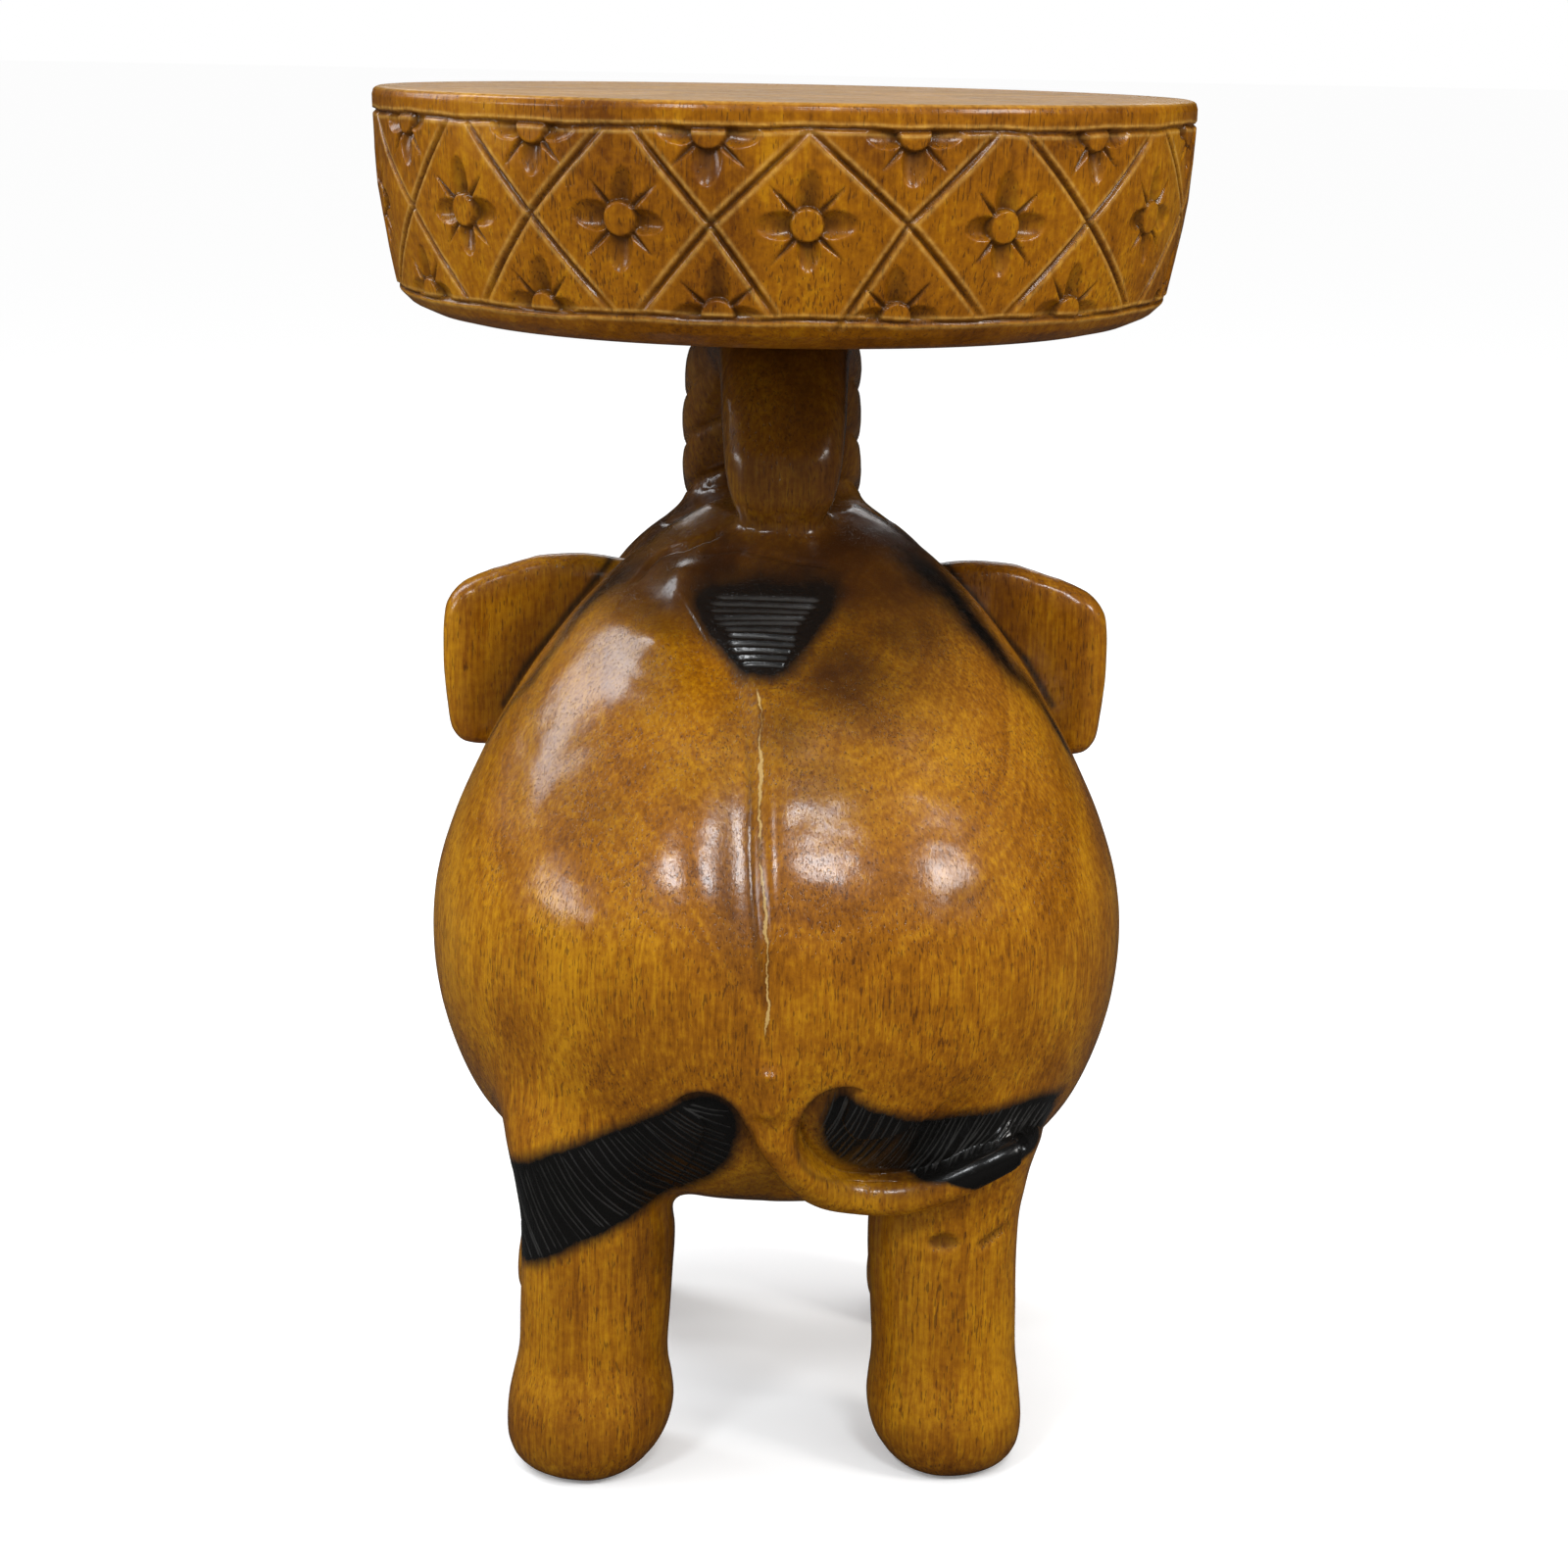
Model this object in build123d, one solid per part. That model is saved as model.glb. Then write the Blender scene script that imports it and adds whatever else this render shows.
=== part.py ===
"""Carved elephant stool: a standing elephant whose raised trunk loops over and carries a thick round seat.

Millimetres, +Z up, the elephant faces +Y, and its own right side is +X. The origin is on the floor under the
middle of the seat. The animal is carved from one log, so all of it stays inside the seat's circle. The seat,
the ears, the tusks, the eyes and the dowels that hold the seat are separate pieces.
"""

from build123d import *
import math
import os

# ---------------------------------------------------------------- driving dimensions

STOOL_HEIGHT = 500.0

# Seat: a thick disc with slightly bulging sides, and a groove that sets off a plain band above and below.
SEAT_RADIUS = 150.0
SEAT_THICKNESS = 82.0
SEAT_TAPER = 9.5  # how much smaller the radius is at the lower groove
SEAT_TOP_BAND = 8.0
SEAT_BOTTOM_BAND = 12.0
SEAT_TOP_EDGE = 2.0
SEAT_BOTTOM_EDGE = 29.0
GROOVE_WIDTH = 2.4
GROOVE_DEPTH = 1.3

# Body: an egg, a little to the right of the seat's middle.
BELLY_Z = 97.0
BODY_X = 2.7
BODY_HALF_WIDTH = 131.0
RUMP_REACH = 144.0
CHEST_REACH = 104.0

# Legs and feet. The left hind leg stands further back than the right one.
LEG_RADIUS = 27.0
FOOT_RADIUS = 31.0
FOOT_ROUNDING = 10.5
FOOT_BULGE_Z = 15.0
ANKLE_Z = 44.0
HIND_LEG_X = 66.5
HIND_LEG_Y = -77.0
HIND_LEG_STAGGER = 8.0
FORE_LEG_X = 73.0
FORE_LEG_Y = 62.0
FORE_LEGS_LEAN = -1.0
LEG_LEAN = 1.5  # how far the top of a leg leans in, towards the middle of the stool
HIP_TUCK = 18.0  # how much further the top of a hind leg draws in under the body
SHOULDER_TUCK = 34.0

# Head: a rounded block at the front of the body, with a pointed lower lip.
HEAD_HALF_WIDTH = 76.0
HEAD_HALF_HEIGHT = 64.0
HEAD_DROP = 68.0  # from the crown of the body down to the middle of the head
NECK_Y = 14.0
FACE_Y = 132.0
LIP_WIDTH = 62.0

# Trunk: rises from the face, loops under the seat, and its tip comes down on the nape.
TRUNK_ROOT_WIDTH = 76.0
TRUNK_WIDTH = 70.0
TRUNK_THICKNESS = 46.0
TIP_WIDTH = 46.0
TIP_THICKNESS = 31.0
TIP_Y = -10.0
LOOP_HEADROOM = 42.0  # clear height of the loop's eye
ARCH_THICKNESS = 27.0  # wood between the eye and the seat
TRUNK_LEAN = -3.0  # sideways, of the rising limb
TIP_LEAN = 2.0

# Ears: boards let into the sides of the head.
EAR_REACH = 131.0
EAR_HEIGHT = 76.0
EAR_THICKNESS = 17.0
EAR_DROP = 30.0  # from the crown of the body down to the top of the ears
EAR_ROOT_X = 52.0
EAR_Y = 60.0
EAR_SWEEP = 8.0  # degrees, the free edge leans back
EAR_CHAMFER = 4.0

# Tusks and eyes.
TUSK_RADIUS = 7.5
TUSK_TIP_RADIUS = 2.4
TUSK_X = 51.0
TUSK_REACH = 34.0
TUSK_RISE = 34.0
TENON_RADIUS = 5.0
TENON_LENGTH = 16.0
EYE_RADIUS = 6.5
EYE_PROUD = 2.4
EYE_DEPTH = 7.0

# Dowels between the trunk and the seat, and the gaps that glue fills.
DOWEL_RADIUS = 6.0
DOWEL_LENGTH = 46.0
FRONT_DOWEL_Y = 70.0
REAR_DOWEL_Y = 26.0
GLUE_GAP = 0.15
END_GAP = 0.5

# Tail, in relief on the rump: it hangs down the middle and sweeps to the right at the bottom.
TAIL_WIDTH = 15.0
TAIL_PROUD = 5.0

# How many flat strokes go round each carved form.
BODY_FACETS = 48
HEAD_FACETS = 36
LEG_FACETS = 24
TRUNK_FACETS = 20
SMALL_FACETS = 12

# ---------------------------------------------------------------- worked out from them

SEAT_UNDERSIDE_Z = STOOL_HEIGHT - SEAT_THICKNESS
EYE_TOP_Z = SEAT_UNDERSIDE_Z - ARCH_THICKNESS
CROWN_Z = EYE_TOP_Z - LOOP_HEADROOM
BODY_HEIGHT = CROWN_Z - BELLY_Z
BODY_HALF_DEPTH = (RUMP_REACH + CHEST_REACH) / 2
BODY_Y = (CHEST_REACH - RUMP_REACH) / 2
HEAD_Z = CROWN_Z - HEAD_DROP
UP = (0, 0, 1)
FORWARDS = (0, 1, 0)


def smooth(stations, place):
    """Value at a place on the smooth curve through (place, value) stations. It never overshoots them."""
    gaps = [b[0] - a[0] for a, b in zip(stations, stations[1:])]
    rises = [(b[1] - a[1]) / gap for a, b, gap in zip(stations, stations[1:], gaps)]
    slopes = [0 if low * high <= 0 else 2 * low * high / (low + high) for low, high in zip(rises, rises[1:])]
    slopes = [rises[0], *slopes, rises[-1]]
    span = max(i for i in range(len(gaps)) if i == 0 or stations[i][0] <= place)
    t = (place - stations[span][0]) / gaps[span]
    start, end = stations[span][1], stations[span + 1][1]
    return (
        start * (1 + 2 * t) * (1 - t) ** 2
        + end * t * t * (3 - 2 * t)
        + gaps[span] * (slopes[span] * t * (1 - t) ** 2 - slopes[span + 1] * t * t * (1 - t))
    )


def ring(centre, facing, half_width, half_depth, facets, squareness=1.0, across=(1, 0, 0)):
    """Corner points of a faceted oval at a point, facing a direction, with its width across it."""
    frame = Plane(origin=centre, x_dir=across, z_dir=facing)
    corners = []
    for step in range(facets):
        angle = 2 * math.pi * (step + 0.5) / facets
        x, y = math.cos(angle), math.sin(angle)
        fuller = (abs(x) ** (2 * squareness) + abs(y) ** (2 * squareness)) ** (-0.5 / squareness)
        corners.append(frame.from_local_coords(Vector(half_width * x * fuller, half_depth * y * fuller, 0)))
    return corners


def skin(rings):
    """A solid of flat facets through rings of corners. A facet that would twist is split in two."""
    outlines = [rings[0], rings[-1]]
    for low, high in zip(rings, rings[1:]):
        for a, b, c, d in zip(low, low[1:] + low[:1], high[1:] + high[:1], high):
            normal = (b - a).cross(c - a).normalized()
            if abs(normal.dot(d - a)) < 1e-6:
                outlines.append([a, b, c, d])
            else:
                outlines += [[a, b, c], [a, c, d]]
    return Solid(Shell([Face(Wire.make_polygon(outline)) for outline in outlines]))


def surface_point(solid, start, direction):
    """Where a line from a point leaves a solid for the last time."""
    way = Vector(*direction).normalized()
    hits = solid.find_intersection_points(Axis(start, direction))
    return max((point for point, normal in hits), key=lambda point: (point - Vector(*start)).dot(way))


def rod(start, direction, length, radius):
    """A cylinder from a point along a direction."""
    return extrude(Plane(origin=start, z_dir=direction) * Circle(radius), amount=length)


# ---------------------------------------------------------------- the carved log


def torso():
    """The egg of the body, as level sections. Each has its share of the height, its size, and its shift forwards."""
    sections = []
    for share, size, shift in [
        (0.00, 0.48, 24),
        (0.03, 0.70, 17),
        (0.06, 0.80, 14),
        (0.12, 0.885, 9),
        (0.17, 0.925, 6),
        (0.23, 0.962, 3),
        (0.30, 0.99, 1),
        (0.39, 1.00, 0),
        (0.47, 0.98, 0),
        (0.56, 0.921, 2),
        (0.66, 0.828, 6),
        (0.76, 0.714, 11),
        (0.84, 0.595, 19),
        (0.90, 0.478, 28),
        (0.95, 0.350, 37),
        (0.985, 0.215, 43),
    ]:
        centre = (BODY_X, BODY_Y + shift, BELLY_Z + BODY_HEIGHT * share)
        sections.append(ring(centre, UP, BODY_HALF_WIDTH * size, BODY_HALF_DEPTH * size, BODY_FACETS))
    return skin(sections)


def leg(x, y, foot_radius, hip_z, hip_radius, tuck):
    """One leg: a rounded foot, a narrower ankle, and a thigh that draws in under the body."""
    thigh_z = BELLY_Z + 34
    inwards = Vector(BODY_X - x, BODY_Y - y, 0).normalized()
    sections = []
    for z, radius, shift in [
        (0, foot_radius - FOOT_ROUNDING, 0),
        (0.14 * FOOT_BULGE_Z, foot_radius - 0.5 * FOOT_ROUNDING, 0),
        (0.42 * FOOT_BULGE_Z, foot_radius - 0.2 * FOOT_ROUNDING, 0),
        (FOOT_BULGE_Z, foot_radius, 0),
        (0.5 * (FOOT_BULGE_Z + ANKLE_Z), foot_radius - 1.5, 0),
        (ANKLE_Z, LEG_RADIUS - 0.5, 0.3 * LEG_LEAN),
        (BELLY_Z - 16, LEG_RADIUS - 0.5, LEG_LEAN),
        (BELLY_Z + 2, LEG_RADIUS, LEG_LEAN),
        (BELLY_Z + 19, LEG_RADIUS + 4, LEG_LEAN + 0.04 * tuck),
        (thigh_z, LEG_RADIUS + 10, LEG_LEAN + 0.06 * tuck),
        (0.5 * (thigh_z + hip_z), LEG_RADIUS + 9, LEG_LEAN + 0.35 * tuck),
        (hip_z, hip_radius, LEG_LEAN + tuck),
    ]:
        centre = Vector(x, y, z) + inwards * shift
        sections.append(ring(centre, UP, radius, radius, LEG_FACETS))
    return skin(sections)


def head():
    """The head, as upright sections. Each has its share of the length from neck to face, its size and its lift."""
    sections = []
    for share, size, lift in [
        (0.0, 0.72, -6),
        (0.17, 0.87, -3),
        (0.37, 0.965, 0),
        (0.58, 1.0, 0),
        (0.75, 0.93, -3),
        (0.88, 0.77, -8),
        (0.96, 0.555, -12),
        (1.0, 0.29, -14),
    ]:
        centre = (0, NECK_Y + (FACE_Y - NECK_Y) * share, HEAD_Z + lift)
        sections.append(ring(centre, FORWARDS, HEAD_HALF_WIDTH * size, HEAD_HALF_HEIGHT * size, HEAD_FACETS))
    return skin(sections)


def lower_lip():
    """The pointed lower lip under the root of the trunk."""
    sections = []
    for before_face, size, drop in [(50, 1.0, 0), (28, 0.88, 4), (10, 0.62, 5), (1, 0.28, 2)]:
        centre = (0, FACE_Y - before_face, HEAD_Z - 0.72 * HEAD_HALF_HEIGHT - drop)
        half_width = 0.5 * LIP_WIDTH * size
        sections.append(ring(centre, FORWARDS, half_width, 0.56 * half_width, SMALL_FACETS))
    return skin(sections)


def trunk():
    """The raised trunk, in sections along its centre line, cut off level where the seat sits on its bend."""
    centre_line = Spline(
        (0, FACE_Y - 42, HEAD_Z - 34),
        (0, FACE_Y - 21, HEAD_Z),
        (0.5 * TRUNK_LEAN, FACE_Y - 21, HEAD_Z + 40),
        (TRUNK_LEAN, FACE_Y - 38, CROWN_Z + 6),
        (TRUNK_LEAN, FACE_Y - 51, EYE_TOP_Z - 8),
        (0, 0.5 * (FACE_Y - 51 + TIP_Y + 15), EYE_TOP_Z + 0.42 * TRUNK_THICKNESS),
        (TIP_LEAN, TIP_Y + 15, EYE_TOP_Z - 6),
        (TIP_LEAN, TIP_Y + 1, CROWN_Z + 12),
        (TIP_LEAN, TIP_Y - 1, CROWN_Z - 9),
    )
    width = [(0, TRUNK_ROOT_WIDTH), (0.3, TRUNK_WIDTH + 2), (0.52, TRUNK_WIDTH), (0.64, 0.86 * TRUNK_WIDTH)]
    width += [(0.77, TIP_WIDTH + 3), (0.88, TIP_WIDTH), (0.94, 0.91 * TIP_WIDTH), (0.98, 0.72 * TIP_WIDTH)]
    width += [(1, 0.42 * TIP_WIDTH)]
    depth = [(0, 1.3 * TRUNK_THICKNESS), (0.3, 1.13 * TRUNK_THICKNESS), (0.55, TRUNK_THICKNESS)]
    depth += [(0.68, 0.85 * TRUNK_THICKNESS), (0.8, TIP_THICKNESS + 2), (0.9, TIP_THICKNESS)]
    depth += [(0.95, 0.9 * TIP_THICKNESS), (1, 0.45 * TIP_THICKNESS)]
    sections = []
    for share in [0, 0.1, 0.2, 0.3, 0.4, 0.48, 0.55, 0.61, 0.67, 0.73, 0.79, 0.86, 0.92, 0.96, 0.985, 1.0]:
        half_width, half_depth = 0.5 * smooth(width, share), 0.5 * smooth(depth, share)
        place = centre_line @ share
        sections.append(ring(place, centre_line % share, half_width, half_depth, TRUNK_FACETS, 1.6))
    above = Plane.XY.offset(SEAT_UNDERSIDE_Z) * Circle(SEAT_RADIUS)
    return skin(sections) - extrude(above, amount=SEAT_THICKNESS)


def tail(rump):
    """The tail, a ridge that runs down the rump and round to the right, over the thigh, and ends in a point.

    Each station has its place across the rump, its share of the height, its size, and how far the thigh holds it out.
    """
    middle = Vector(BODY_X, 0, BELLY_Z + 0.45 * BODY_HEIGHT)
    points, radii = [], []
    for x, share, size, out in [
        (2, 0.30, 0.7, 0),
        (2, 0.24, 1.0, 0),
        (4, 0.18, 1.0, 0),
        (9, 0.135, 1.0, 0),
        (17, 0.095, 1.0, 0),
        (28, 0.07, 1.0, 0),
        (42, 0.065, 1.0, 3),
        (56, 0.075, 0.95, 11),
        (70, 0.10, 0.8, 19),
        (83, 0.13, 0.55, 20),
        (93, 0.16, 0.3, 17),
    ]:
        radius = 0.5 * TAIL_WIDTH * size
        spot = surface_point(rump, (x, 0, BELLY_Z + BODY_HEIGHT * share), (0, -1, 0))
        points.append(spot - Vector(0, out, 0) + (spot - middle).normalized() * (TAIL_PROUD * size - radius))
        radii.append(radius)
    path = Spline(*points)
    sections = []
    for point, radius in zip(points, radii):
        facing = path % path.param_at_point(point)
        sections.append(ring(point, facing, radius, radius, SMALL_FACETS, across=(0, -1, 0)))
    return skin(sections)


# ---------------------------------------------------------------- pieces that are put on


def seat():
    """The seat, turned about the stool's axis, with its two grooves."""
    top_groove_z = STOOL_HEIGHT - SEAT_TOP_BAND
    low_groove_z = SEAT_UNDERSIDE_Z + SEAT_BOTTOM_BAND
    low_radius = SEAT_RADIUS - SEAT_TAPER
    outline = Polyline(
        (0, SEAT_UNDERSIDE_Z),
        (low_radius - SEAT_BOTTOM_EDGE, SEAT_UNDERSIDE_Z),
        (low_radius - 0.45 * SEAT_BOTTOM_EDGE, SEAT_UNDERSIDE_Z + 0.16 * SEAT_BOTTOM_BAND),
        (low_radius - 0.11 * SEAT_BOTTOM_EDGE, SEAT_UNDERSIDE_Z + 0.45 * SEAT_BOTTOM_BAND),
        (low_radius - 0.5, low_groove_z - 0.5 * GROOVE_WIDTH),
        (low_radius - GROOVE_DEPTH, low_groove_z),
        (low_radius, low_groove_z + 0.5 * GROOVE_WIDTH),
        (SEAT_RADIUS - 0.3 * SEAT_TAPER, 0.5 * (top_groove_z + low_groove_z)),
        (SEAT_RADIUS, top_groove_z - 0.5 * GROOVE_WIDTH),
        (SEAT_RADIUS - GROOVE_DEPTH, top_groove_z),
        (SEAT_RADIUS, top_groove_z + 0.5 * GROOVE_WIDTH),
        (SEAT_RADIUS, STOOL_HEIGHT - SEAT_TOP_EDGE),
        (SEAT_RADIUS - SEAT_TOP_EDGE, STOOL_HEIGHT),
        (0, STOOL_HEIGHT),
        close=True,
    )
    return revolve(Plane.XZ * make_face(outline), Axis.Z)


def ear():
    """The right ear: a board with a straight root inside the head and a chamfered free edge."""
    sweep = math.radians(EAR_SWEEP)
    reach = (EAR_REACH - EAR_ROOT_X) / math.cos(sweep)
    frame = Plane(
        origin=(EAR_ROOT_X, EAR_Y, CROWN_Z - EAR_DROP - EAR_HEIGHT),
        x_dir=(math.cos(sweep), -math.sin(sweep), 0),
        z_dir=(-math.sin(sweep), -math.cos(sweep), 0),
    )
    rim = [(0, 0.95), (0.30, 1.0), (0.52, 0.99), (0.78, 0.91), (0.91, 0.85), (0.98, 0.76), (1.0, 0.64), (1.0, 0.40)]
    rim += [(0.97, 0.11), (0.93, 0.03), (0.85, 0.0), (0.40, 0.0), (0, 0.06)]
    outline = make_face(Polyline(*[(reach * out, EAR_HEIGHT * up) for out, up in rim], close=True))
    board = extrude(frame * outline, 0.5 * EAR_THICKNESS, both=True)
    broad = [face for face in board.faces() if abs(face.normal_at().dot(frame.z_dir)) > 0.99]
    free = [one for face in broad for one in face.edges() if frame.to_local_coords(one @ 0.5).X > 0.1]
    return chamfer(free, EAR_CHAMFER)


def tusk():
    """The right tusk, and its socket: it leaves the head forwards, curves up, and ends in a blunt point."""
    root = Vector(TUSK_X, FACE_Y - 34, HEAD_Z - 30)
    sections = []
    for forwards, rise, share in [(0, 0, 0), (0.34, 0.04, 0.2), (0.66, 0.16, 0.45), (0.9, 0.5, 0.7), (1.0, 1.0, 1.0)]:
        place = root + Vector(0, TUSK_REACH * forwards, TUSK_RISE * rise)
        radius = TUSK_RADIUS + (TUSK_TIP_RADIUS - TUSK_RADIUS) * share
        sections.append(ring(place, (0, 1, 0.55), radius, radius, SMALL_FACETS))
    horn = skin(sections)
    backwards = (0, -1, 0)
    tenon = rod(root, backwards, TENON_LENGTH, TENON_RADIUS)
    hole = rod(root, backwards, TENON_LENGTH + END_GAP, TENON_RADIUS + GLUE_GAP)
    return horn + tenon, horn + hole


def eye(skull):
    """The right eye, a bead with a bevelled face, and the bored socket that it is glued into."""
    direction = (1, 0.36, 0.05)
    spot = surface_point(skull, (0, FACE_Y - 48, HEAD_Z + 10), direction)
    way = Vector(*direction).normalized()
    outline = Plane(origin=spot - way * EYE_DEPTH, z_dir=way) * RegularPolygon(EYE_RADIUS, SMALL_FACETS)
    bead = extrude(outline, EYE_DEPTH + EYE_PROUD)
    rim = bead.faces().sort_by(Axis(spot, direction))[-1].edges()
    socket = rod(spot - way * (EYE_DEPTH + END_GAP), way, 2 * EYE_DEPTH, EYE_RADIUS + GLUE_GAP)
    return chamfer(rim, 0.6 * EYE_PROUD), socket


def mirrored(shape):
    """The same piece on the left side."""
    return mirror(shape, about=Plane.YZ)


# ---------------------------------------------------------------- assembly

os.makedirs("parts", exist_ok=True)

hips = torso()
skull = head()
elephant = hips + tail(hips)
hip_z, shoulder_z = BELLY_Z + 0.26 * BODY_HEIGHT, BELLY_Z + 0.48 * BODY_HEIGHT
for side, stagger, foot_radius in ((-1, HIND_LEG_STAGGER, FOOT_RADIUS), (1, 0, 0.95 * FOOT_RADIUS)):
    x, y = BODY_X + side * HIND_LEG_X, HIND_LEG_Y - stagger
    elephant += leg(x, y, foot_radius, hip_z, LEG_RADIUS + 1, HIP_TUCK)
    x, y = FORE_LEGS_LEAN + side * FORE_LEG_X, FORE_LEG_Y
    elephant += leg(x, y, 0.95 * FOOT_RADIUS, shoulder_z, 0.5 * LEG_RADIUS, SHOULDER_TUCK)
elephant += skull
elephant += lower_lip()
elephant += trunk()

top = seat()
right_ear = ear()
right_tusk, tusk_socket = tusk()
right_eye, eye_socket = eye(skull)
for cutter in (right_ear, tusk_socket, eye_socket):
    elephant -= cutter
    elephant -= mirrored(cutter)

pieces = {}
for name, piece in (("ear", right_ear), ("tusk", right_tusk), ("eye", right_eye)):
    pieces[f"{name}_right"] = piece
    pieces[f"{name}_left"] = mirrored(piece)
for name, x, y in (("front", TRUNK_LEAN, FRONT_DOWEL_Y), ("rear", TIP_LEAN, REAR_DOWEL_Y)):
    low_z = SEAT_UNDERSIDE_Z - 0.5 * DOWEL_LENGTH
    hole = rod((x, y, low_z - END_GAP), UP, DOWEL_LENGTH + 2 * END_GAP, DOWEL_RADIUS + GLUE_GAP)
    elephant -= hole
    top -= hole
    pieces[f"seat_dowel_{name}"] = rod((x, y, low_z), UP, DOWEL_LENGTH, DOWEL_RADIUS)
pieces["elephant"] = elephant
pieces["seat"] = top

for name, piece in pieces.items():
    export_step(piece, f"parts/{name}.step")
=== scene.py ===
"""Carved elephant stool: the looks of its log, seat, ears, tusks and eyes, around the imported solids.

The log and the seat are carved in code: a smooth surface is moved in and out along its own normals, so every
groove, petal and tool stroke is real relief. Carving is laid out in millimetres, as the piece is seen from behind:
x to the right, z up. The relief is finished in metres, in the row's own frame.
"""

import math

import bmesh
import bpy
import numpy as np
from mathutils import Matrix, Vector
from mathutils.bvhtree import BVHTree


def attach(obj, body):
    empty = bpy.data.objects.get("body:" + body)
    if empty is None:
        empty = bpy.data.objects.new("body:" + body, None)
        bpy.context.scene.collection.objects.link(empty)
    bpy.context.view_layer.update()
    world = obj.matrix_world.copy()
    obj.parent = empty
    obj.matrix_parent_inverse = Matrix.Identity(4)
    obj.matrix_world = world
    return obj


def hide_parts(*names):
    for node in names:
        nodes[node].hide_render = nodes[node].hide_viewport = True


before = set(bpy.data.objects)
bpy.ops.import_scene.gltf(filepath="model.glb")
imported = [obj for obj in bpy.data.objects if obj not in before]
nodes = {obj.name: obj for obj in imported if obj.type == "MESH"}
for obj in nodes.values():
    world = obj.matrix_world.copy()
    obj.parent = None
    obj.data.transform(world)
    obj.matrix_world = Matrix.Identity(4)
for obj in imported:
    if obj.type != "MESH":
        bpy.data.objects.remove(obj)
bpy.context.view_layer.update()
MM = 0.001
chance = np.random.default_rng(11)

# ---------------------------------------------------------------- mesh helpers


def places(mesh):
    """Where every vertex is, in millimetres."""
    flat = np.empty(len(mesh.vertices) * 3)
    mesh.vertices.foreach_get("co", flat)
    return flat.reshape(-1, 3) / MM


def put(mesh, spots):
    """Moves every vertex to its new place, given in millimetres."""
    mesh.vertices.foreach_set("co", (spots * MM).ravel())
    mesh.update()


def facing(mesh):
    """The normal at every vertex."""
    flat = np.empty(len(mesh.vertices) * 3, np.float32)
    mesh.vertex_normals.foreach_get("vector", flat)
    return flat.reshape(-1, 3).astype(float)


def relax(mesh, rounds, share=1.0, steps=(0.55, -0.57)):
    """Evens the surface out without shrinking it. share says how far each vertex takes part."""
    pairs = np.empty(len(mesh.edges) * 2, np.int32)
    mesh.edges.foreach_get("vertices", pairs)
    a, b = pairs.reshape(-1, 2).T
    spots = places(mesh)
    size = len(spots)
    beside = np.maximum(np.bincount(a, minlength=size) + np.bincount(b, minlength=size), 1)[:, None]
    share = np.broadcast_to(np.asarray(share, float), size)[:, None]
    for _ in range(rounds):
        for step in steps:
            around = [
                np.bincount(a, spots[b, k], size) + np.bincount(b, spots[a, k], size) for k in range(3)
            ]
            spots = spots + step * share * (np.column_stack(around) / beside - spots)
    put(mesh, spots)


def keep_value(mesh, name, values):
    """Stores a number for every vertex, for the materials to read."""
    mesh.attributes.new(name, "FLOAT", "POINT").data.foreach_set("value", values.astype(np.float32))


def new_piece(name, mesh, stands_for):
    """A visible piece that rides on the stool and stands for its solids."""
    piece = bpy.data.objects.new(name, mesh)
    bpy.context.scene.collection.objects.link(piece)
    mesh.polygons.foreach_set("use_smooth", [True] * len(mesh.polygons))
    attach(piece, "root")
    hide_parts(*stands_for)
    return piece


def wrapped(meshes, voxel):
    """One even skin around one or more closed meshes."""
    joined = bmesh.new()
    for mesh in meshes:
        joined.from_mesh(mesh)
    rough = bpy.data.meshes.new("rough")
    joined.to_mesh(rough)
    joined.free()
    holder = bpy.data.objects.new("holder", rough)
    bpy.context.scene.collection.objects.link(holder)
    wrap = holder.modifiers.new("wrap", "REMESH")
    wrap.mode = "VOXEL"
    wrap.voxel_size = voxel * MM
    skin = bpy.data.meshes.new_from_object(holder.evaluated_get(bpy.context.evaluated_depsgraph_get()))
    bpy.data.objects.remove(holder)
    bpy.data.meshes.remove(rough)
    return skin


def plug(body, piece, reach):
    """The hull of a socket's wall: it fills the socket that a piece sits in."""
    shell = bmesh.new()
    shell.from_mesh(piece.data)
    tree = BVHTree.FromBMesh(shell)
    shell.free()
    hull = bmesh.new()
    for vertex in body.data.vertices:
        if tree.find_nearest(vertex.co, reach * MM)[0] is not None:
            hull.verts.new(vertex.co)
    made = bmesh.ops.convex_hull(hull, input=hull.verts)
    loose = [one for one in made["geom_interior"] + made["geom_unused"] if isinstance(one, bmesh.types.BMVert)]
    bmesh.ops.delete(hull, geom=list(set(loose)), context="VERTS")
    mesh = bpy.data.meshes.new("plug")
    hull.to_mesh(mesh)
    hull.free()
    return mesh


def halved(mesh):
    """The same skin with every face split in four."""
    holder = bpy.data.objects.new("holder", mesh)
    bpy.context.scene.collection.objects.link(holder)
    holder.modifiers.new("finer", "SUBSURF").levels = 1
    fine = bpy.data.meshes.new_from_object(holder.evaluated_get(bpy.context.evaluated_depsgraph_get()))
    bpy.data.objects.remove(holder)
    bpy.data.meshes.remove(mesh)
    return fine


def refine(mesh, wanted):
    """Splits the edges of the faces whose vertices are all wanted, for finer carving there."""
    work = bmesh.new()
    work.from_mesh(mesh)
    work.verts.ensure_lookup_table()
    edges = [edge for edge in work.edges if wanted[edge.verts[0].index] and wanted[edge.verts[1].index]]
    bmesh.ops.subdivide_edges(work, edges=edges, cuts=1, use_grid_fill=True)
    work.to_mesh(mesh)
    work.free()
    mesh.update()


# ---------------------------------------------------------------- carving helpers


def rise(value, low, high):
    """0 below low, 1 above high, and smooth between."""
    t = np.clip((value - low) / (high - low), 0, 1)
    return t * t * (3 - 2 * t)


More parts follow.
